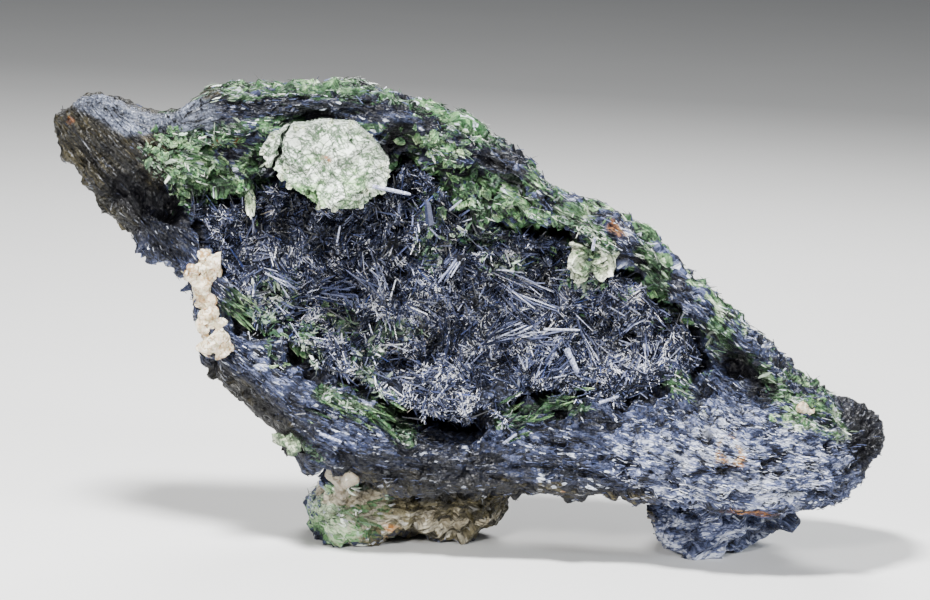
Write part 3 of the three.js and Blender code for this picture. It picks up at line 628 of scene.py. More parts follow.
def crystal_tree(name, crystal):
    """Geometry Nodes that grow a crystal shape all over a surface. `crystal` adds the shape's nodes."""
    tree = bpy.data.node_groups.new(name, "GeometryNodeTree")
    tree.interface.new_socket("Surface", in_out="INPUT", socket_type="NodeSocketGeometry")
    labels = ("Per square metre", "Shortest", "Longest", "Width", "Lean", "Follow", "Bundle", "Bundle size", "Sunk",
        "Roll")
    for label in labels:
        tree.interface.new_socket(label, in_out="INPUT", socket_type="NodeSocketFloat")
    tree.interface.new_socket("Seed", in_out="INPUT", socket_type="NodeSocketInt")
    tree.interface.new_socket("Material", in_out="INPUT", socket_type="NodeSocketMaterial")
    tree.interface.new_socket("Crystals", in_out="OUTPUT", socket_type="NodeSocketGeometry")
    given = {socket.name: Value(tree, socket) for socket in tree.nodes.new("NodeGroupInput").outputs if socket.name}

    def fed(output, kind, settings=None, **inputs):
        return Value(tree, add_node(tree, kind, settings, **inputs).outputs[output])

    def vector(operation, *values, **named):
        return fed(0, "ShaderNodeVectorMath", {"operation": operation},
            **{f"_{i}": v for i, v in enumerate(values)}, **named)

    def mixed(share, vector_a, vector_b):
        return fed(1, "ShaderNodeMix", {"data_type": "VECTOR"}, _0=share, _4=vector_a, _5=vector_b)

    def stored(name, kind="FLOAT"):
        return fed(0, "GeometryNodeInputNamedAttribute", {"data_type": kind}, Name=name)

    def chance(low, high, draw, kind="FLOAT"):
        """A random value for each crystal; every use has a draw number of its own."""
        first, output = {"FLOAT": (2, 1), "FLOAT_VECTOR": (0, 0)}[kind]
        return fed(output, "FunctionNodeRandomValue", {"data_type": kind}, Seed=given["Seed"] + draw,
                   **{f"_{first}": low, f"_{first + 1}": high})

    spread = add_node(tree, "GeometryNodeDistributePointsOnFaces", {"distribute_method": "RANDOM"},
        Mesh=given["Surface"], Density=given["Per square metre"] * stored("growth"), Seed=given["Seed"]).outputs
    normal = spread["Normal"]
    spot = fed(0, "GeometryNodeInputPosition")

    # A crystal points anywhere, or with the others of its bundle, or along the grain, lifted by its lean.
    alone = vector("NORMALIZE", chance((-1, -1, -1), (1, 1, 1), 1, "FLOAT_VECTOR"))
    cell = fed("Color", "ShaderNodeTexVoronoi", {"voronoi_dimensions": "3D"}, Vector=spot,
               Scale=spot.math("DIVIDE", 1.0, given["Bundle size"]))
    shared = vector("NORMALIZE", vector("SUBTRACT", cell, (0.5, 0.5, 0.5)))
    either_end = chance(-1.0, 1.0, 2)
    along_grain = vector("SCALE", stored("way", "FLOAT_VECTOR"), Scale=spot.math("SIGN", either_end))
    way = mixed(given["Follow"], mixed(given["Bundle"], alone, shared), along_grain)
    flat = vector("NORMALIZE", vector("SUBTRACT", way, vector("PROJECT", way, normal)))
    lift = vector("SCALE", normal, Scale=given["Lean"] * chance(0.0, 1.0, 3))
    direction = vector("NORMALIZE", vector("ADD", flat, lift))
    pointed = fed(0, "FunctionNodeAlignRotationToVector", {"axis": "Z"}, Vector=direction)
    turned = fed(0, "FunctionNodeAlignRotationToVector", {"axis": "Y", "pivot_axis": "Z"}, Rotation=pointed,
        Vector=normal)
    spin = fed(0, "FunctionNodeAxisAngleToRotation", Axis=(0, 0, 1), Angle=given["Roll"] * chance(-1.0, 1.0, 4))
    rotation = fed(0, "FunctionNodeRotateRotation", {"rotation_space": "LOCAL"}, _0=turned, _1=spin)

    # Short crystals are commoner than long ones, and each is sunk in the surface by a share of its length.
    even = chance(0.0, 1.0, 5)
    length = fed(0, "ShaderNodeMapRange", Value=even.math("POWER", even, 2.0), To_Min=given["Shortest"],
                 To_Max=given["Longest"])
    width = given["Width"] * chance(0.6, 1.5, 6)
    size = fed(0, "ShaderNodeCombineXYZ", X=width, Y=width, Z=length)
    back = vector("SCALE", direction, Scale=length * (given["Sunk"] * -1.0))
    sunk = fed(0, "GeometryNodeSetPosition", Geometry=spread["Points"], Offset=back)
    grown = fed(0, "GeometryNodeInstanceOnPoints", Points=sunk, Instance=crystal(fed), Rotation=rotation, Scale=size)
    drift = fed(0, "ShaderNodeTexNoise", Vector=spot, Scale=DRIFTS_PER_METRE, Detail=2.0)
    # Each crystal's tone: random, drifting over the surface, plus a value given for each surface that shifts its own
    # tone and also carries painted light and shade.
    tone = chance(0.0, 1.0, 7) + (drift - 0.5) * 1.4 + stored("tone_and_painted_light")
    for label, value in (("tone", tone), ("hue", chance(0.0, 1.0, 8))):
        grown = fed(0, "GeometryNodeStoreNamedAttribute", {"data_type": "FLOAT", "domain": "INSTANCE"},
            Geometry=grown, Name=label, Value=value)
    real = fed(0, "GeometryNodeRealizeInstances", Geometry=grown)
    add_node(tree, "NodeGroupOutput", _0=fed(0, "GeometryNodeSetMaterial", Geometry=real, Material=given["Material"]))
    return tree


def needle_shape(fed):
    cone = fed("Mesh", "GeometryNodeMeshCone", {"fill_type": "NGON"}, Vertices=3, Radius_Top=0.55, Radius_Bottom=1.0,
               Depth=1.0)
    flattened = fed(0, "GeometryNodeTransform", Geometry=cone, Scale=(1, 0.75, 1))
    return fed(0, "GeometryNodeSetShadeSmooth", Geometry=flattened, Shade_Smooth=False)


def grown_on(surface, name, tree, growth, ways, material, per_mm2, shortest, longest, width, lean, seed,
             follow=0.0, bundle=0.0, bundle_size=3.0, sunk=0.3, tone_and_painted_light=0.0, roll=3.14):
    """A new piece of crystals that a tree grows on a surface; sizes in millimetres."""
    piece = bpy.data.objects.new(name, surface.data.copy())
    scene.collection.objects.link(piece)
    for layer in list(piece.data.attributes):
        if layer.name in ("growth", "way", "tone_and_painted_light"):
            piece.data.attributes.remove(layer)
    add_attributes(piece.data, {"growth": growth, "tone_and_painted_light": np.broadcast_to(tone_and_painted_light, growth.shape)})
    add_vectors(piece.data, "way", ways)
    modifier = piece.modifiers.new("growth", "NODES")
    modifier.node_group = tree
    values = {"Per square metre": per_mm2 * MM2_IN_M2, "Shortest": shortest * MM, "Longest": longest * MM,
        "Width": width * MM, "Lean": lean, "Follow": follow, "Bundle": bundle, "Bundle size": bundle_size * MM,
        "Sunk": sunk, "Roll": roll, "Seed": seed, "Material": material}
    for item in tree.interface.items_tree:
        if item.item_type == "SOCKET" and item.name in values:
            modifier[item.identifier] = values[item.name]
    applied(piece)
    put_points(piece.data, np.clip(points_of(piece.data), low_mm, high_mm))
    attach(piece, "root")
    return piece


needle = new_material("needle")
place = start(needle)
tone = attribute(place, "tone") + 0.35 * (lumps(place, 0.25, 1) - 0.5)
# The top of the ramp is painted highlight: the palest needles are near white, as glints.
colour = ramp(tone, (0.25, 0.003, 0.004, 0.008), (0.5, 0.021, 0.025, 0.052), (0.7, 0.064, 0.076, 0.150),
    (0.86, 0.18, 0.20, 0.32), (0.96, 0.50, 0.53, 0.66), (1.0, 0.92, 0.93, 0.98))
hue = attribute(place, "hue")
colour = (hue.above(0.88, 0.885) * (0.9 - hue).above(0, 0.002) * tone.above(0.5, 0.8)).mix(colour,
    (0.36, 0.32, 0.26, 1))
colour = (hue.above(0.955, 0.96) * tone.above(0.4, 0.6)).mix(colour, (0.040, 0.060, 0.19, 1))
shaded(place, colour, 0.22, [(lumps(place, 0.15, 1), 0.03)], IOR=1.52)

needle_tree = crystal_tree("needles", needle_shape)
crust_points = points_of(crust.data)
crust_normals = normals_of(crust.data)
slot_gap = band(crust_points, [(-12.4, 17.6), (-8, 15.6), (-3, 14.2), (1.4, 13.6)], 1.3, 0.6)
crust_growth = step(-crust_normals[:, 1], -0.1, 0.3) * (1 - slot_gap) * (1 - 0.25 * gaps)
crust_z = crust_points[:, 2]
# Tone of the hollow's needles: lighter on the lower carpet and overall, with painted light on raised clumps and
# painted shade in the gaps between clumps, under the rim at the top, at the left, in the recess at the right and in
# the hollow under the rosette.
crust_tone_and_painted_light = (0.10 * near(crust_points, -6, 19.5, 10, 4.5, -10) + 0.02 * near(crust_points, 8, 27, 10, 7)
    + 0.14 * clumps - 0.16 * step(crust_z, 34, 40) - 0.08 * near(crust_points, -22, 38, 12, 5)
    - 0.1 * near(crust_points, 26, 27, 7, 4, -30) - 0.3 * gaps + 0.13 - 0.3 * near(crust_points, 8.4, 36.6, 4, 2.4))
no_way = np.tile([1.0, 0, 0], (len(crust_points), 1))
grown_on(crust, "needle_grains", needle_tree, crust_growth, no_way, needle, 13.5, 0.2, 0.65, 0.07,
    1.6, 3, sunk=0.1, tone_and_painted_light=crust_tone_and_painted_light)
grown_on(crust, "needle_carpet", needle_tree, crust_growth, no_way, needle, 13.0, 0.35, 1.15, 0.05,
    1.0, 4, bundle=0.75, bundle_size=1.6, sunk=0.1, tone_and_painted_light=crust_tone_and_painted_light - 0.06)
grown_on(crust, "needle_tangle", needle_tree, crust_growth, no_way, needle, 3.4, 1.0, 3.4, 0.11, 0.6,
    5, bundle=0.8, bundle_size=2.6, sunk=0.1, tone_and_painted_light=crust_tone_and_painted_light - 0.26)

# Sprays of long prisms stand out where they grew into open space: each is a fan from one foot.
SPRAYS = [  # foot x, foot z, the way it points, how many, longest
    ((2.6, 34.2), (0.85, -0.35, -0.3), 12, 8), ((3.4, 31.6), (0.9, -0.35, -0.22), 9, 8),
    ((1.6, 25.8), (0.75, -0.4, 0.5), 10, 7), ((4.6, 25.4), (0.95, -0.3, 0.1), 8, 7),
    ((12.6, 28.6), (0.6, -0.4, -0.7), 7, 7), ((9.6, 22.6), (0.5, -0.5, 0.6), 5, 4.5),
    ((12.6, 19.0), (0.9, -0.45, 0.25), 5, 5), ((23.0, 18.6), (-0.1, -0.4, 0.9), 10, 8),
    ((20.4, 24.4), (-0.25, -0.4, -0.9), 8, 7), ((-10.6, 31.0), (-0.5, -0.5, 0.7), 8, 6),
    ((-18.4, 30.6), (0.8, -0.5, 0.2), 8, 6), ((-24.4, 33.0), (0.7, -0.6, -0.3), 7, 5),
    ((-13.6, 36.6), (0.1, -0.6, -0.8), 6, 5), ((-1.4, 36.6), (-0.5, -0.6, -0.6), 7, 5),
    ((-4.6, 20.6), (-0.8, -0.6, 0.3), 7, 5), ((15.8, 31.6), (0.8, -0.4, -0.5), 6, 6),
    ((27.4, 22.6), (-0.9, -0.4, 0.2), 6, 5), ((6.6, 20.2), (-0.4, -0.6, 0.7), 6, 5),
    ((-7.6, 42.4), (0.1, -0.6, -0.8), 5, 5.5), ((-3.0, 41.0), (0.5, -0.6, 0.6), 5, 4.5),
    ((-28.6, 31.6), (0.5, -0.6, 0.6), 6, 5),
]
LATHS = [  # single pale laths: foot x, depth from the crust, foot z, direction, length, width
    ((-12.2, 6.2, 45.2), (0.97, -0.1, -0.16), 4.6, 0.26), ((15.4, 0.8, 19.6), (0.85, -0.3, 0.4), 2.6, 0.2),
    ((11.4, 1.4, 25.0), (0.45, -0.4, -0.85), 3.4, 0.42), ((13.9, 2.6, 38.0), (0.1, -0.4, 0.9), 1.8, 0.2),
    ((-16.4, 1.5, 37.4), (0.15, -0.4, 0.9), 2.4, 0.12), ((8.6, 1.5, 27.4), (0.98, -0.2, 0.05), 4.4, 0.18),
    ((-5.4, 2.4, 40.2), (-0.1, -0.5, 0.8), 3.6, 0.5), ((4.2, 0.6, 14.6), (0.6, -0.5, 0.6), 2.4, 0.18),
    ((-17.6, 0.3, 15.4), (0.85, -0.4, -0.2), 3.0, 0.22),
]


def straight_needle(work, tones, foot, direction, length, width, tone):
    """Adds one prism, a lozenge in section, to a bmesh."""
    direction = Vector(direction).normalized()
    side = direction.cross(Vector((0.3, 1, 0.2))).normalized()
    over = direction.cross(side)
    rings = []
    for t, w in ((0, 1), (0.9, 0.8), (1, 0.45)):
        middle = Vector(foot) + direction * (length * t)
        rings.append([work.verts.new((middle + side * (w * width * a) + over * (w * width * b)) * MM)
                      for a, b in ((1, 0), (0, 0.6), (-1, 0), (0, -0.6))])
    for low, high in zip(rings, rings[1:]):
        for n in range(4):
            work.faces.new((low[n], low[(n + 1) % 4], high[(n + 1) % 4], high[n]))
    work.faces.new(rings[0][::-1])
    work.faces.new(rings[-1])
    tones.extend([tone] * 12)


def surface_finder(*pieces):
    """A function that gives the point, in millimetres, and the normal where the front of the nearest of some
    pieces is met at [x, z]."""
    in_front = -40
    graph = bpy.context.evaluated_depsgraph_get()
    trees = [BVHTree.FromObject(piece, graph) for piece in pieces]

    def meet(x, z):
        hits = [tree.ray_cast(Vector((x, in_front, z)) * MM, Vector((0, 1, 0)))[:2] for tree in trees]
        hits = [(where / MM, normal) for where, normal in hits if where]
        return min(hits, key=lambda hit: hit[0].y) if hits else None
    return meet


def mesh_piece(name, work, material, tones=None):
    """A finished bmesh as a piece that rides with the stone."""
    bmesh.ops.recalc_face_normals(work, faces=work.faces)
    mesh = bpy.data.meshes.new(name)
    work.to_mesh(mesh)
    work.free()
    if tones is not None:
        add_attributes(mesh, {"tone": np.array(tones)})
    mesh.materials.append(material)
    piece = bpy.data.objects.new(name, mesh)
    scene.collection.objects.link(piece)
    put_points(mesh, np.clip(points_of(mesh), low_mm, high_mm))
    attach(piece, "root")
    return piece


on_crust = surface_finder(crust)
on_rock = surface_finder(stone, crust)
random = np.random.default_rng(8)
work = bmesh.new()
tones = []
for (x, z), direction, count, longest in SPRAYS:
    for _ in range(2 * count):
        foot_x, foot_z = x + random.normal(0, 0.6), z + random.normal(0, 0.6)
        met = on_crust(foot_x, foot_z)
        if not met:
            continue
        foot = (foot_x, met[0].y + 0.3, foot_z)
        straight_needle(work, tones, foot, np.array(direction) + random.normal(0, 0.17, 3),
            longest * random.uniform(0.45, 1), random.uniform(0.05, 0.15),
            random.choice((0.35, 0.55, 0.7, 0.8, 0.93)))
for (x, out, z), direction, length, width in LATHS:
    foot = (x, (on_crust(x, z) or on_rock(x, z))[0].y - out, z)
    straight_needle(work, tones, foot, direction, length, width, 0.9 if width < 0.5 else 0.6)
mesh_piece("needle_sprays", work, needle, tones)

# ---------------------------------------------------------------- fibres of the rock
# The schist breaks into fibres and thin laths, blue-grey and often pale. They lie along its grain, half sunk
# in the surface, all over the rim, the lower ridge, the bulge and the broken back.
fibre = new_material("fibre")
place = start(fibre)
tone = attribute(place, "tone") + 0.35 * (lumps(place, 0.3, 1) - 0.5)
colour = ramp(tone, (0.2, 0.006, 0.007, 0.014), (0.5, 0.030, 0.038, 0.075), (0.72, 0.080, 0.100, 0.215),
    (0.9, 0.27, 0.30, 0.45), (1.0, 0.80, 0.83, 0.92))
shaded(place, colour, 0.35, [(lumps(place, 0.15, 1), 0.03)], IOR=1.42)

points = points_of(stone.data)
normals = normals_of(stone.data)
zones = rock_zones(points)
covered = step(points[:, 1] - SHIFT[1], -5.2, -3.2) * step(-normals[:, 1], 0.1, 0.4)
front = step(-points[:, 1], -6, -3) * (1 - covered)
bare = np.clip(1 - 0.8 * zones["green"] - zones["saddle"] - 0.95 * zones["brown"] - zones["cream"]
    - zones["pockets"], 0.04, 1)
along = grain_of(points)[1]
end_on = step(np.abs(np.einsum("ij,ij->i", normals, along)), 0.45, 0.75)
bare *= (1 - 0.9 * end_on) * (1 - 0.8 * zones["nose"])
# The fibres' tone: lighter on the pale zones, darker on dark rock and painted shade.
fibre_tone_and_shade = 0.42 * zones["pale"] - 0.4 * zones["dark"] - 0.1
grown_on(stone, "front_fibres", needle_tree, front * bare, along, fibre, 5.6, 0.3, 1.4, 0.055, 0.05, 11,
         follow=0.8, bundle=0.5, bundle_size=3, sunk=0.55, tone_and_painted_light=fibre_tone_and_shade)
grown_on(stone, "back_fibres", needle_tree, (1 - front) * (1 - covered) * bare, along, fibre, 2.4, 0.5,
    2.2, 0.07, 0.08, 12, follow=0.8, bundle=0.5, bundle_size=3, sunk=0.5, tone_and_painted_light=-0.22)

# ---------------------------------------------------------------- flakes of the green layers
# Chromium mica in small bright scales, packed along the layers under the top rim and round the hollow's
# upper wall. Each scale is a thin five-sided plate.
green_flake = new_material("green_flake")
place = start(green_flake)
tone = attribute(place, "tone") + 0.4 * (lumps(place, 0.4, 2) - 0.5)
colour = ramp(tone, (0.1, 0.009, 0.021, 0.012), (0.4, 0.038, 0.095, 0.042), (0.65, 0.12, 0.22, 0.12),
    (0.85, 0.32, 0.42, 0.30), (1.0, 0.70, 0.76, 0.66))
hue = attribute(place, "hue")
varied = place.fed(0, "ShaderNodeHueSaturation", Hue=0.455 + 0.08 * hue, Saturation=0.62 + 0.45 * hue, Color=colour)
shaded(place, varied, 0.3, [(lumps(place, 0.3, 2), 0.05)], IOR=1.45)


def scale_shape(fed):
    plate = fed("Mesh", "GeometryNodeMeshCylinder", {"fill_type": "NGON"}, Vertices=5, Radius=1.0, Depth=0.25)
    upright = fed(0, "GeometryNodeTransform", Geometry=plate, Rotation=(math.pi / 2, 0, 0), Scale=(1.0, 1.0, 0.5),
                  Translation=(0, 0, 0.4))
    return fed(0, "GeometryNodeSetShadeSmooth", Geometry=upright, Shade_Smooth=False)


scale_tree = crystal_tree("scales", scale_shape)
leafy = (1 - 0.9 * end_on) * np.clip(zones["green"] + 0.6 * zones["bright_green"] - 0.25, 0, 1) * (1
    - zones["pockets"])
leafy *= 1 - 0.85 * zones["foot"]
green_tone_shift = 0.3 * zones["bright_green"] + 0.25 * zones["pale"] - 0.15
grown_on(stone, "green_fibres", scale_tree, front * leafy, along, green_flake, 4.0, 0.4, 1.4,
         0.075, 0.12, 20, follow=0.85, bundle=0.6, sunk=0.45, tone_and_painted_light=green_tone_shift, roll=0.5)
grown_on(stone, "green_scales", scale_tree, front * leafy * step(below_top(points), 2, 6), along, green_flake,
    4.5, 0.3, 1.1, 0.2, 0.4, 21, follow=0.3, bundle=0.8, bundle_size=2, sunk=0.4, tone_and_painted_light=green_tone_shift,
    roll=0.6)
grown_on(stone, "green_back", scale_tree, (1 - front) * (1 - covered) * zones["green"], along, green_flake,
    3.0, 0.5, 1.8, 0.09, 0.1, 22, follow=0.85, bundle=0.6, sunk=0.45, roll=0.5)

# Small tufts of the same mica sit among the hollow's needles.
TUFTS = [  # x, z, half width, half height, angle
    (-6.3, 36.4, 2, 2.8), (-16, 26.8, 2.4, 1.6), (-9.4, 26.6, 4, 1.4), (-24, 31, 3, 3), (-13, 23.5, 3, 1.4),
    (-20, 24, 1.8, 3.4, 20), (-27.4, 27.6, 3, 4, 40), (-0.4, 38.4, 4, 2), (4, 35, 4, 1.4), (-12, 20.6, 4, 1, -38),
]
tufts = sum(near(crust_points, *tuft) for tuft in TUFTS) + 0.8 * near(crust_points, 12, 33.6, 4, 1.6, -20)
tufts = np.clip(tufts, 0, 1)
grown_on(crust, "tufts_in_hollow", scale_tree, tufts * crust_growth, no_way, green_flake, 11.0, 0.4, 1.3,
    0.2, 0.9, 23, bundle=0.6, bundle_size=1.5, sunk=0.1, tone_and_painted_light=-0.05, roll=1.5)

# ---------------------------------------------------------------- the large mica book
# A book of pale green phengite, crushed so that its sheets are crumpled and broken into facets like foil.
# It grew flat against the hollow's upper wall, under the rim.
mica = new_material("mica")
place = start(mica)
tone = attribute(place, "tone")
fold_tone, fold_height = facets(place, 1.8, (2.0, 1, 1), 0.9, wander=1.6)
crease_tone, crease_height = facets(place, 0.8, (2.6, 1, 1), -0.5, wander=1.4)
fine_tone, fine_height = facets(place, 0.25, (2.0, 1, 1), 0.4, wander=1.0)
cloud = lumps(place, 2.2, 3)
creases = 1.0
for n, (size, turn) in enumerate(((2.6, 0.9), (2.0, -0.5), (1.3, 2.2), (1.0, 0.2))):
    creases = creases * (0.12 + 0.88 * line_of(place, size, 0.003, 0.026 + 0.006 * n, 3, 0.6, (3.0, 1, 1), turn))
# The bright attribute adds painted light: the top of the book and a spot on its right edge are lighter.
value = (0.34 * tone + 0.45 * fold_tone + 0.35 * crease_tone + 0.25 * fine_tone + 0.8 * cloud
         + 0.42 * attribute(place, "bright") - 0.47)
colour = ramp(value, (0.05, 0.04, 0.13, 0.035), (0.3, 0.15, 0.31, 0.11), (0.5, 0.37, 0.55, 0.30),
    (0.68, 0.66, 0.81, 0.60), (0.9, 0.90, 0.97, 0.87))
# Painted shade: dark green along the creases between the crumpled sheets.
colour = creases.above(0.0, 0.9).mix((0.035, 0.085, 0.032, 1), colour)
colour = (attribute(place, "stain") * fine_tone.above(0.2, 0.5)).mix(colour, (0.34, 0.15, 0.06, 1))
# Painted shade: near black in the crack and the slit cut into the sheets.
colour = (attribute(place, "crack") * (0.4 + crease_tone)).above(0.3, 0.7).mix(colour, (0.014, 0.024, 0.016, 1))
shaded(place, colour, 0.42 - 0.25 * crease_tone,
       [(creases, 0.12), (fold_height, 1.2), (crease_height, 0.45), (fine_height, 0.12)], IOR=1.5)


def inside_outline(outline, x, z):
    """Which points lie in a closed outline."""
    found = np.zeros(x.shape, dtype=bool)
    for (ax, az), (bx, bz) in zip(outline, outline[1:] + outline[:1]):
        crossing = (az > z) != (bz > z)
        found ^= crossing & (x < ax + (bx - ax) * (z - az) / (bz - az if bz != az else 1e-9))
    return found


def sheet_pile(name, outline, depth, rise, sheets, sizes, tilt, seed, cell=0.13):
    """A closed solid of broken sheets laid over each other: flat facets with crisp steps between them."""
    random = np.random.default_rng(seed)
    outline = [(x + SHIFT[0], z) for x, z in outline]
    xs, zs = np.array(outline).T
    gx, gz = np.meshgrid(np.arange(xs.min(), xs.max(), cell), np.arange(zs.min(), zs.max(), cell), indexing="ij")
    frayed = np.stack([gx.ravel(), np.zeros(gx.size), gz.ravel()], axis=1)
    fray_x, fray_z = (0.3 * field(frayed, 1.7, k).reshape(gx.shape) for k in (3.3, 6.1))
    mask = inside_outline(outline, gx + fray_x, gz + fray_z)
    middle = np.array([xs.mean(), zs.mean()])
    reach = np.hypot((gx - middle[0]) / np.ptp(xs), (gz - middle[1]) / np.ptp(zs)) * 2
    dome = rise * np.sqrt(np.clip(1 - 0.8 * reach ** 2, 0.02, 1))
    height = 0.55 * dome
    tone = np.full(gx.shape, 0.3)
    for _ in range(sheets):
        while True:
            c = np.array([random.uniform(xs.min(), xs.max()), random.uniform(zs.min(), zs.max())])
            if inside_outline(outline, c[:1], c[1:])[0]:
                break
        radius = random.uniform(*sizes)
        sides = random.integers(4, 7)
        corners = (np.arange(sides) + random.uniform(-0.3, 0.3, sides)) * 2 * math.pi / sides + random.uniform(0, 6)
        sheet = [(c[0] + radius * random.uniform(0.7, 1.15) * math.cos(a), c[1]
            + radius * random.uniform(0.7, 1.15) * math.sin(a)) for a in corners]
        slope = random.normal(0, tilt, 2)
        ci, ck = int((c[0] - xs.min()) / cell) % gx.shape[0], int((c[1] - zs.min()) / cell) % gx.shape[1]
        level = 0.72 * dome[ci, ck] + random.uniform(0, 0.28) * rise
        plane = level + slope[0] * (gx - c[0]) + slope[1] * (gz - c[1])
        over = inside_outline(sheet, gx, gz) & (plane > height)
        height = np.where(over, plane, height)
        tone = np.where(over, random.random(), tone)
    flat = np.stack([gx.ravel(), np.zeros(gx.size), gz.ravel()], axis=1)
    height = height + 0.12 * field(flat, 0.9, seed).reshape(gx.shape)
    bent = flat + np.stack([field(flat, 1.0, k) for k in (1.5, 2.5, 3.5)], axis=1) * 0.35
    cut = band(bent, CRACK, 0.05, 0.22).reshape(gx.shape) + 0.4 * band(bent, SLIT, 0.06, 0.2).reshape(gx.shape)
    height = height - 0.9 * cut
    index = -np.ones(gx.shape, dtype=int)
    full = mask[:-1, :-1] & mask[1:, :-1] & mask[1:, 1:] & mask[:-1, 1:]
    used = np.zeros(gx.shape, dtype=bool)
    for a, b in ((0, 0), (1, 0), (1, 1), (0, 1)):
        used[a:gx.shape[0] - 1 + a, b:gx.shape[1] - 1 + b] |= full
    index[used] = np.arange(used.sum())
    front = np.stack([gx[used], depth - height[used], gz[used]], axis=1)
    back = np.stack([gx[used], np.full(used.sum(), depth + 2.2), gz[used]], axis=1)
    i, k = np.nonzero(full)
    quads = np.stack([index[i, k], index[i + 1, k], index[i + 1, k + 1], index[i, k + 1]], axis=1)
    count = len(front)
    sides = np.concatenate([quads[:, [n, (n + 1) % 4]] for n in range(4)])
    keys = {tuple(e) for e in sides.tolist()}
    rim = [e for e in sides.tolist() if (e[1], e[0]) not in keys]
    faces = quads.tolist() + (quads[:, ::-1] + count).tolist() + [(b, a, a + count, b + count) for a, b in rim]
    mesh = bpy.data.meshes.new(name)
    mesh.from_pydata((np.concatenate([front, back]) * MM).tolist(), [], faces)
    mesh.update()
    both = np.concatenate([flat[used.ravel()]] * 2)
    add_attributes(mesh, {
        "tone": np.concatenate([tone[used]] * 2), "crack": np.clip(np.concatenate([cut[used]] * 2), 0, 1),
        "stain": near(both, -18.2, 48.2, 0.9, 0.7) * step(field(both, 0.5), -0.4, 0.2),
        # Painted light: lighter towards the top of the book and at a spot on its right edge.
        "bright": step(both[:, 2], 42, 50) + near(both, -11.6, 46.4, 2.0)})
    mesh.materials.append(mica)
    piece = bpy.data.objects.new(name, mesh)
    scene.collection.objects.link(piece)
    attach(piece, "root")
    return piece


CRACK = [(-22.6, 52.6), (-23.4, 50.2), (-23.8, 48.2), (-25.2, 46.2)]
SLIT = [(-16.9, 48.6), (-16.7, 47.3)]
BOOK_OUTLINE = [(-26.1, 48.6), (-25, 50.6), (-22, 51.9), (-17.8, 52.4), (-15.4, 52.4), (-13.3, 50.9), (-11.1, 47.9),
    (-10.8, 46.3), (-11.5, 44.2), (-13.9, 42.6), (-17.1, 42), (-19, 42.4), (-21.8, 44.3), (-23.6, 46), (-25.2, 47)]
book = sheet_pile("mica_sheets", BOOK_OUTLINE, -5.6, 3.9, 90, (1.0, 4.0), 0.28, 31)
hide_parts("mica_book")

# ---------------------------------------------------------------- the smaller mica leaves
# Fans of small crumpled leaves of green mica, each grown on its own spot of the rock, and the pale rosette at
# the hollow's upper right. A leaf is a thin plate, fluted along its length, with a ragged tip. A flake is an
# angular plate, bent along a crease.
def leaf_material(name, offset, *stops):
    """Mica with fine lines along the sheet, broken in small facets, and thin creases painted dark as shade."""
    material = new_material(name)
    place = start(material)
    sheet = attribute(place, "sheet", "Vector")
    flake_tone, flake_height = facets(sheet, 0.35, (2.0, 1, 1), wander=0.9)
    streak = lumps(sheet, 0.12, 2, 0.6, (7, 1, 1))
    crease = line_of(place, 0.9, 0.0, 0.03, 3, 0.6)
    value = 0.6 * attribute(place, "tone") + 0.4 * flake_tone + 0.8 * streak + 0.9 * lumps(place, 1.4, 3) + offset
    drift = lumps(place, 1.1, 2)
    varied = place.fed(0, "ShaderNodeHueSaturation", Hue=0.45 + 0.12 * drift, Saturation=0.5 + 0.9 * drift,
                       Color=ramp(value, *stops))
    # Painted shade: dark green along the thin creases.
    colour = crease.mix((0.010, 0.024, 0.012, 1), varied)
    shaded(place, colour, 0.5 - 0.3 * flake_tone, [(crease, 0.08), (flake_height, 0.3), (streak, 0.08)], IOR=1.45)
    return material


leaf_green = leaf_material("leaf_green", -0.86, (0.05, 0.008, 0.014, 0.012), (0.3, 0.026, 0.058, 0.030),
    (0.5, 0.070, 0.150, 0.062), (0.72, 0.17, 0.29, 0.12), (0.95, 0.42, 0.54, 0.30))
leaf_pale = leaf_material("leaf_pale", -0.75, (0.05, 0.05, 0.08, 0.04), (0.3, 0.20, 0.27, 0.15),
    (0.5, 0.48, 0.54, 0.37), (0.72, 0.60, 0.65, 0.47), (0.95, 0.84, 0.87, 0.74))


def sheet_axes(out, heading):
    """The ways along and across a sheet that faces out and points along a heading, in degrees from the x axis."""
    ahead = Vector((math.cos(math.radians(heading)), 0, math.sin(math.radians(heading))))
    along = (ahead - out * ahead.dot(out)).normalized()
    return along, out.cross(along)


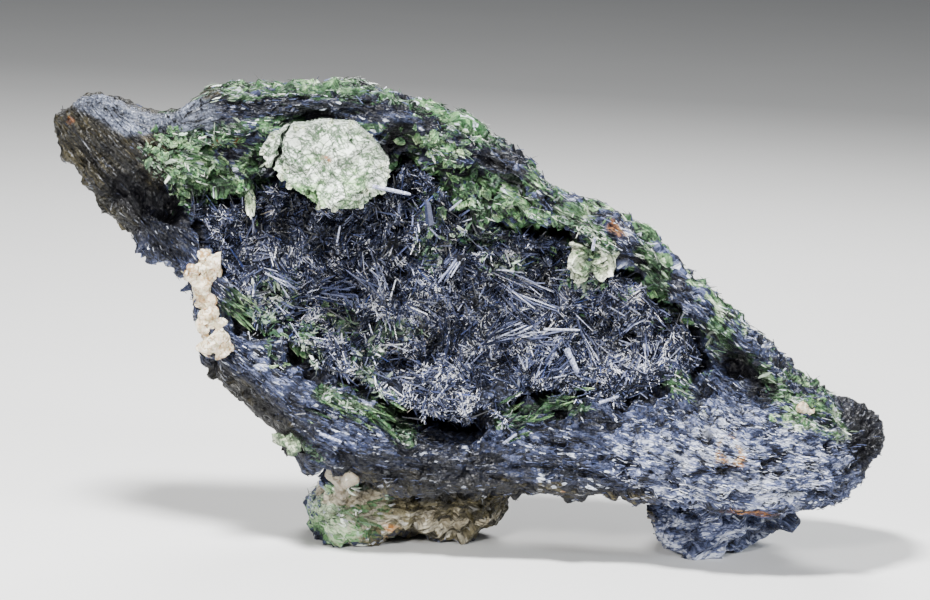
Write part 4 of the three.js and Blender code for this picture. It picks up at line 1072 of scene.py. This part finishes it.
def add_leaf(work, marks, meet, x, z, heading, length, width, lift, random):
    """Adds one leaf to a bmesh, its foot on a surface at [x, z] and its tip lifted, pointing along a heading in
    degrees from the x axis. Each point's tone and place on the sheet go in marks."""
    met = meet(x, z)
    if not met:
        return
    foot, normal = met
    out = (normal + Vector((0, -0.8, 0))).normalized()
    along, side = sheet_axes(out, heading)
    flutes, phase = random.uniform(2, 4), random.uniform(0, 6.3)
    lift, cup = random.uniform(*lift) * length, random.uniform(-0.2, 0.35) * width
    tone = random.random()
    rows, columns = 7, 6
    ragged = random.uniform(0.78, 1.1, columns + 1)
    sheets = []
    for under in (0.0, 0.14 + 0.05 * width):
        sheet = []
        for i in range(rows + 1):
            s = i / rows
            half = 0.5 * width * (0.35 + 0.65 * math.sin(math.pi * (0.12 + 0.62 * s)))
            for j in range(columns + 1):
                t = 2 * j / columns - 1
                ahead_by = length * s * (1 + (ragged[j] * (1 - 0.25 * t * t) - 1) * s)
                up = (lift * s ** 1.4 + cup * t * t * s + 0.06 * width * math.sin(flutes * math.pi * t + phase)
                    * (0.3 + s) + 0.05 * random.normal() - 0.2 - under)
                where = foot + along * ahead_by + side * (half * t) + out * up
                sheet.append(work.verts.new(where * MM))
                marks.append((0.6 * tone + 1.8 * (s - 0.6), length * s * MM, half * t * MM, 0.01 * tone))
        sheets.append(sheet)
    step_on = columns + 1
    for i in range(rows):
        for j in range(columns):
            a, b = i * step_on + j, (i + 1) * step_on + j
            for sheet in sheets:
                work.faces.new((sheet[a], sheet[b], sheet[b + 1], sheet[a + 1]))
    edge = (list(range(columns)) + [i * step_on + columns for i in range(rows)]
            + [rows * step_on + j for j in range(columns, 0, -1)] + [i * step_on for i in range(rows, 0, -1)])
    for a, b in zip(edge, edge[1:] + edge[:1]):
        work.faces.new((sheets[0][a], sheets[0][b], sheets[1][b], sheets[1][a]))


def add_flake(work, marks, meet, x, z, heading, length, width, lift, random):
    """Adds one broken flake to a bmesh: an angular plate, bent along a crease, lying askew on a surface."""
    met = meet(x, z)
    least_facing = -0.25  # none grows on a face that looks less than this towards the front
    if not met or met[1].y > least_facing:
        return
    foot, normal = met
    out = (normal + Vector((0, -0.5, 0)) + Vector(random.normal(0, 0.2, 3))).normalized()
    along, side = sheet_axes(out, heading)
    corners = random.integers(5, 9)
    angles = (np.arange(corners) + random.uniform(-0.35, 0.35, corners)) * 2 * math.pi / corners
    reach = random.uniform(0.55, 1.0, corners)
    bend, bend_way = random.uniform(-0.4, 0.4), random.uniform(0, 3.14)
    rise = random.uniform(*lift)
    tone = random.uniform(0.15, 0.8)
    sheets = []
    for under in (0.0, 0.1 + 0.05 * width):
        sheet = []
        for share in (0.0, 0.55, 1.0):
            for a, r in ([(0, 0)] if share == 0 else zip(angles, reach)):
                u, v = 0.5 * length * share * r * math.cos(a), 0.5 * width * share * r * math.sin(a)
                up = (rise * (u + 0.4 * length) + bend * abs(u * math.cos(bend_way) + v * math.sin(bend_way))
                      + 0.07 * width * random.normal() - under)
                sheet.append(work.verts.new((foot + along * (u + 0.2 * length) + side * v + out * up) * MM))
                marks.append((tone - 0.16 + 0.3 * share + 0.1 * random.normal(), u * MM, v * MM, 0.01 * tone))
        sheets.append(sheet)
    for n in range(corners):
        a, b = 1 + n, 1 + (n + 1) % corners
        for sheet in sheets:
            work.faces.new((sheet[0], sheet[a], sheet[b]))
            work.faces.new((sheet[a], sheet[a + corners], sheet[b + corners], sheet[b]))
        work.faces.new((sheets[0][a + corners], sheets[0][b + corners], sheets[1][b + corners],
            sheets[1][a + corners]))


def leaf_fans(name, fans, meet, material, seed, node=None, add=add_leaf, spread=32, scatter=0.28, lift=(0.1, 0.45)):
    """One piece of leaves from fans: x, z, heading, how many, longest, widest."""
    random = np.random.default_rng(seed)
    work = bmesh.new()
    marks = []
    for x, z, heading, count, longest, widest in fans:
        for n in range(count):
            away = 0 if n == 0 else scatter * longest
            share = 1.0 if n == 0 else random.uniform(0.3, 1.0)
            add(work, marks, meet, x + SHIFT[0] + random.normal(0, 1) * away, z + random.normal(0, 1) * away,
                heading + (0 if n == 0 else random.normal(0, spread)), longest * share,
                widest * share * random.uniform(0.7, 1.2), lift, random)
    piece = mesh_piece(name, work, material)
    marks = np.array(marks)
    add_attributes(piece.data, {"tone": marks[:, 0]})
    add_vectors(piece.data, "sheet", marks[:, 1:])
    if node:
        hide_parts(node)
    return piece


rosette = leaf_fans("leaf_rosette", [(13.1, 36.5, -162, 6, 2.9, 3.4), (13.1, 36.2, -138, 5, 2.7, 2.4),
    (13.5, 36.4, -22, 6, 2.8, 3.0), (13.8, 36.9, 28, 6, 3.0, 3.0), (13.8, 37.3, 62, 4, 2.8, 1.8)], on_rock,
    leaf_pale, 61, "mica_rosette", spread=12, scatter=0.06, lift=(0.35, 0.75))
FLAKES = {"add": add_flake, "spread": 60, "scatter": 0.55, "lift": (-0.1, 0.3)}
BLADES = {"spread": 9, "scatter": 0.3, "lift": (0.0, 0.12)}
leaf_fans("leaf_rosette_heart", [(13.3, 37.0, -90, 12, 1.5, 0.9), (13.4, 36.0, -80, 8, 1.1, 0.6)],
    surface_finder(rosette), leaf_green, 75, **FLAKES)
leaf_fans("leaf_flake_upper", [(-6.1, 50.8, -76, 16, 3.0, 1.8), (-5.4, 48.4, -66, 18, 3.0, 1.9),
    (-5.8, 49.7, -92, 12, 2.2, 1.4), (-4.5, 49.6, -57, 12, 2.4, 1.5)], on_rock, leaf_green, 62, "mica_flake_upper",
    **FLAKES)
leaf_fans("leaf_patch_left", [(-37.6, 49.0, -30, 16, 2.3, 1.4), (-36.0, 49.4, -11, 12, 2.0, 1.2),
    (-35.1, 48.6, -22, 16, 2.4, 1.4), (-38.1, 47.7, -45, 14, 2.2, 1.4), (-33.9, 49.1, -22, 10, 2.0, 1.2),
    (-30.4, 49.4, -10, 10, 2.0, 1.1)], on_rock, leaf_green, 63, "mica_patch_left", **FLAKES)
leaf_fans("leaf_tooth_left", [(-35.9, 44.9, -54, 16, 2.6, 1.5), (-31.1, 45, -70, 16, 2.6, 1.4),
    (-33.1, 43.8, -41, 14, 2.4, 1.3), (-29, 44.5, -56, 10, 2.2, 1.1), (-36, 42.2, -60, 8, 2.0, 1.1)], on_rock,
    leaf_green, 64, "mica_tooth_left", **FLAKES)
leaf_fans("leaf_tooth_pale", [(-27.7, 43.7, -78, 1, 3.6, 1.3)], on_rock, leaf_pale, 74)
tuft = remeshed(node_copy("mica_tuft_low", "leaf_tuft_low"), TUFT_VOXEL)
tuft_points = points_of(tuft.data)
moved = chips(tuft_points, 1.2, 0.4, 65) + 0.1 * field(tuft_points, 0.5, 6.5)
put_points(tuft.data, tuft_points + normals_of(tuft.data) * moved[:, None])
add_attributes(tuft.data, {"tone": -0.2 + 0.6 * field(tuft_points, 1.6, 2.6)})
add_vectors(tuft.data, "sheet", tuft_points * MM)
only_material(tuft, leaf_pale)
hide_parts("mica_tuft_low")
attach(tuft, "root")
leaf_fans("leaf_blade_left", [(-29.9, 29.5, -35, 22, 4.4, 0.45), (-27.2, 27.9, -39, 22, 4.4, 0.45)],
          on_rock, leaf_green, 66, "mica_blade_left", **BLADES)
leaf_fans("leaf_blade_low", [(-18.3, 19.9, -23, 18, 4.4, 0.45), (-15.5, 18.7, -26, 18, 4.6, 0.5),
    (-12.5, 17.4, -41, 18, 4.6, 0.45), (-9.8, 15.3, -45, 10, 3.0, 0.4)], on_rock, leaf_green, 67, "mica_blade_low",
    **BLADES)
leaf_fans("leaf_lens_low", [(2.8, 16.4, 20, 18, 4.2, 0.45), (6.1, 17.8, 15, 18, 4.2, 0.45),
    (9.1, 18.6, 7, 12, 3.8, 0.4)], on_rock, leaf_green, 68, "mica_lens_low", **BLADES)
leaf_fans("leaves_terrace", [(-6, 41.6, -116, 14, 2.4, 1.6), (-5.7, 39.4, -104, 14, 2.2, 1.5),
    (-1.4, 44.8, -68, 14, 2.4, 1.8), (-1.9, 43, -96, 12, 2.2, 1.6), (0.5, 44.3, -45, 12, 2.4, 1.7),
    (2.3, 41.9, -56, 14, 2.6, 1.9), (4.7, 43.2, -31, 10, 2.4, 1.6), (-3.8, 46, -45, 10, 2.4, 1.6),
    (7.1, 42.1, -27, 10, 2.2, 1.5), (9.5, 39.8, -50, 8, 2.4, 1.5), (18.0, 33.0, -45, 6, 2.2, 1.3),
    (22.5, 29.5, -50, 6, 2.0, 1.2)], on_rock, leaf_green, 69, **FLAKES)
leaf_fans("leaves_hollow", [(-28.5, 38.1, -53, 3, 3.2, 0.8), (-18.2, 28.2, -33, 22, 1.8, 1.0),
    (-16.4, 27.9, -30, 14, 1.8, 0.9), (-23, 27, -56, 14, 2.2, 0.8), (-22.3, 24.6, -58, 14, 2.6, 0.8),
    (-21.2, 25.9, -34, 10, 1.8, 0.8)], on_rock, leaf_green, 70, add=add_flake, spread=35, scatter=0.7,
    lift=(0.0, 0.4))
leaf_fans("leaves_right", [(38.4, 21.2, -40, 10, 2.4, 1.2), (40.2, 22.1, -23, 10, 2.8, 1.2),
    (40.9, 20.4, -27, 10, 2.8, 1.2), (37.3, 20.5, -50, 8, 2.2, 1.2)], on_rock, leaf_green, 71, **FLAKES)
book_rim = [(0.93 * (x + 18.4) - 18.4, 0.93 * (z - 47.2) + 47.2, math.degrees(math.atan2(z - 47.2, x + 18.4)), 3,
    1.2, 1.2) for x, z in BOOK_OUTLINE]
leaf_fans("leaves_of_book", book_rim, surface_finder(book), leaf_pale, 73, add=add_flake, spread=40, scatter=0.5,
    lift=(-0.2, 0.1))

# ---------------------------------------------------------------- the calcite
# Cream calcite in a chain of glassy broken grains down the left edge, a tan-grey pair over the left foot, darkened
# as painted shade, and a small knot over the bulge. Each grain is bounded by its flat cleavage faces.
calcite = new_material("calcite")
place = start(calcite)
cloud = lumps(place, 1.6, 3)
cleave_tone, cleave_height = facets(place, 0.7, wander=0.5)
colour = ramp(0.5 * cleave_tone + 0.8 * lumps(place, 0.9, 2) - 0.1, (0.1, 0.40, 0.31, 0.18),
    (0.5, 0.72, 0.62, 0.45), (0.9, 0.91, 0.85, 0.73))
colour = (cloud + 0.3 * lumps(place, 0.4, 2)).above(0.70, 0.80).mix(colour, (0.33, 0.20, 0.075, 1))
colour = line_of(place, 1.4, 0.0, 0.035, 3).mix((0.30, 0.22, 0.11, 1), colour)
# The pair over the left foot: tan-grey, and darkened as painted shade.
colour = attribute(place, "tan_grey_and_shade").mix(colour, (0.16, 0.14, 0.105, 1))
shaded(place, colour, 0.3 + 0.25 * lumps(place, 0.5, 2), [(cleave_height, 0.3), (lumps(place, 0.5, 3), 0.08)],
    IOR=1.6, Subsurface_Weight=0.15, Subsurface_Scale=0.0008)


def broken_grain(work, middle, radii, random):
    """Adds one grain: the hull of points scattered on an ellipsoid, so that its faces are flat."""
    corners = 14
    around = random.normal(0, 1, (corners, 3))
    around /= np.linalg.norm(around, axis=1)[:, None]
    made = [work.verts.new(Vector(middle + p * np.array(radii)) * MM) for p in around]
    hull = bmesh.ops.convex_hull(work, input=made)
    loose = [g for g in hull["geom_interior"] if isinstance(g, bmesh.types.BMVert)]
    bmesh.ops.delete(work, geom=loose, context="VERTS")
    random.random()  # one number is passed over after each grain, and the next grain's size follows from it


on_stone = surface_finder(stone)


def grain_cluster(name, node, spots, seed, rough, sunk=0.35, tan_grey_and_shade=0.0):
    """Broken grains round spots [x, z, radius, how many], grown together where they touch."""
    random = np.random.default_rng(seed)
    work = bmesh.new()
    for x, z, radius, count in spots:
        for n in range(count):
            away = 0 if n == 0 else radius * 0.75
            gx, gz = x + SHIFT[0] + random.normal(0, 0.5) * away, z + random.normal(0, 0.5) * away
            size = radius * (1 if n == 0 else random.uniform(0.35, 0.7))
            met = on_stone(gx, gz) or on_stone(x + SHIFT[0] + 1, z)
            middle = np.array([gx, met[0].y - sunk * size, gz])
            broken_grain(work, middle, size * random.uniform(0.8, 1.15, 3), random)
    piece = remeshed(mesh_piece(name, work, calcite), GRAIN_VOXEL)
    points = smooth_points(points_of(piece.data), edges_of(piece.data), 1)
    moved = rough * (chips(points, 1.6, 0.5, seed) + 0.12 * field(points, 0.6, seed))
    put_points(piece.data, points)
    put_points(piece.data, np.clip(points + normals_of(piece.data) * moved[:, None], low_mm, high_mm))
    add_attributes(piece.data, {"tan_grey_and_shade": np.full(len(points), tan_grey_and_shade)})
    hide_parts(node)
    return piece


VEIN = [(-32.4, 34.4, 2.0, 3), (-30.5, 34.8, 1.6, 3), (-33.5, 33.4, 1.6, 3), (-32.8, 31.9, 1.5, 3),
    (-32.3, 30.4, 1.6, 3), (-31.9, 28.8, 1.6, 3), (-31.3, 27.3, 1.8, 3), (-30.8, 25.8, 2.1, 4),
    (-30.0, 24.4, 1.6, 3), (-31.6, 24.8, 1.5, 3)]
grain_cluster("calcite_chain", "calcite_vein", VEIN, 51, 1.0)
grain_cluster("calcite_pair", "calcite_grains_low", [(-16.0, 9.5, 2.1, 1), (-14.8, 9.6, 1.6, 1),
    (-15.6, 7.3, 1.5, 1)], 52, 0.4, sunk=0.4, tan_grey_and_shade=0.85)
grain_cluster("calcite_single", "calcite_grain_right", [(38.8, 20.2, 1.0, 3), (40, 19.8, 0.6, 3)], 53, 0.6)
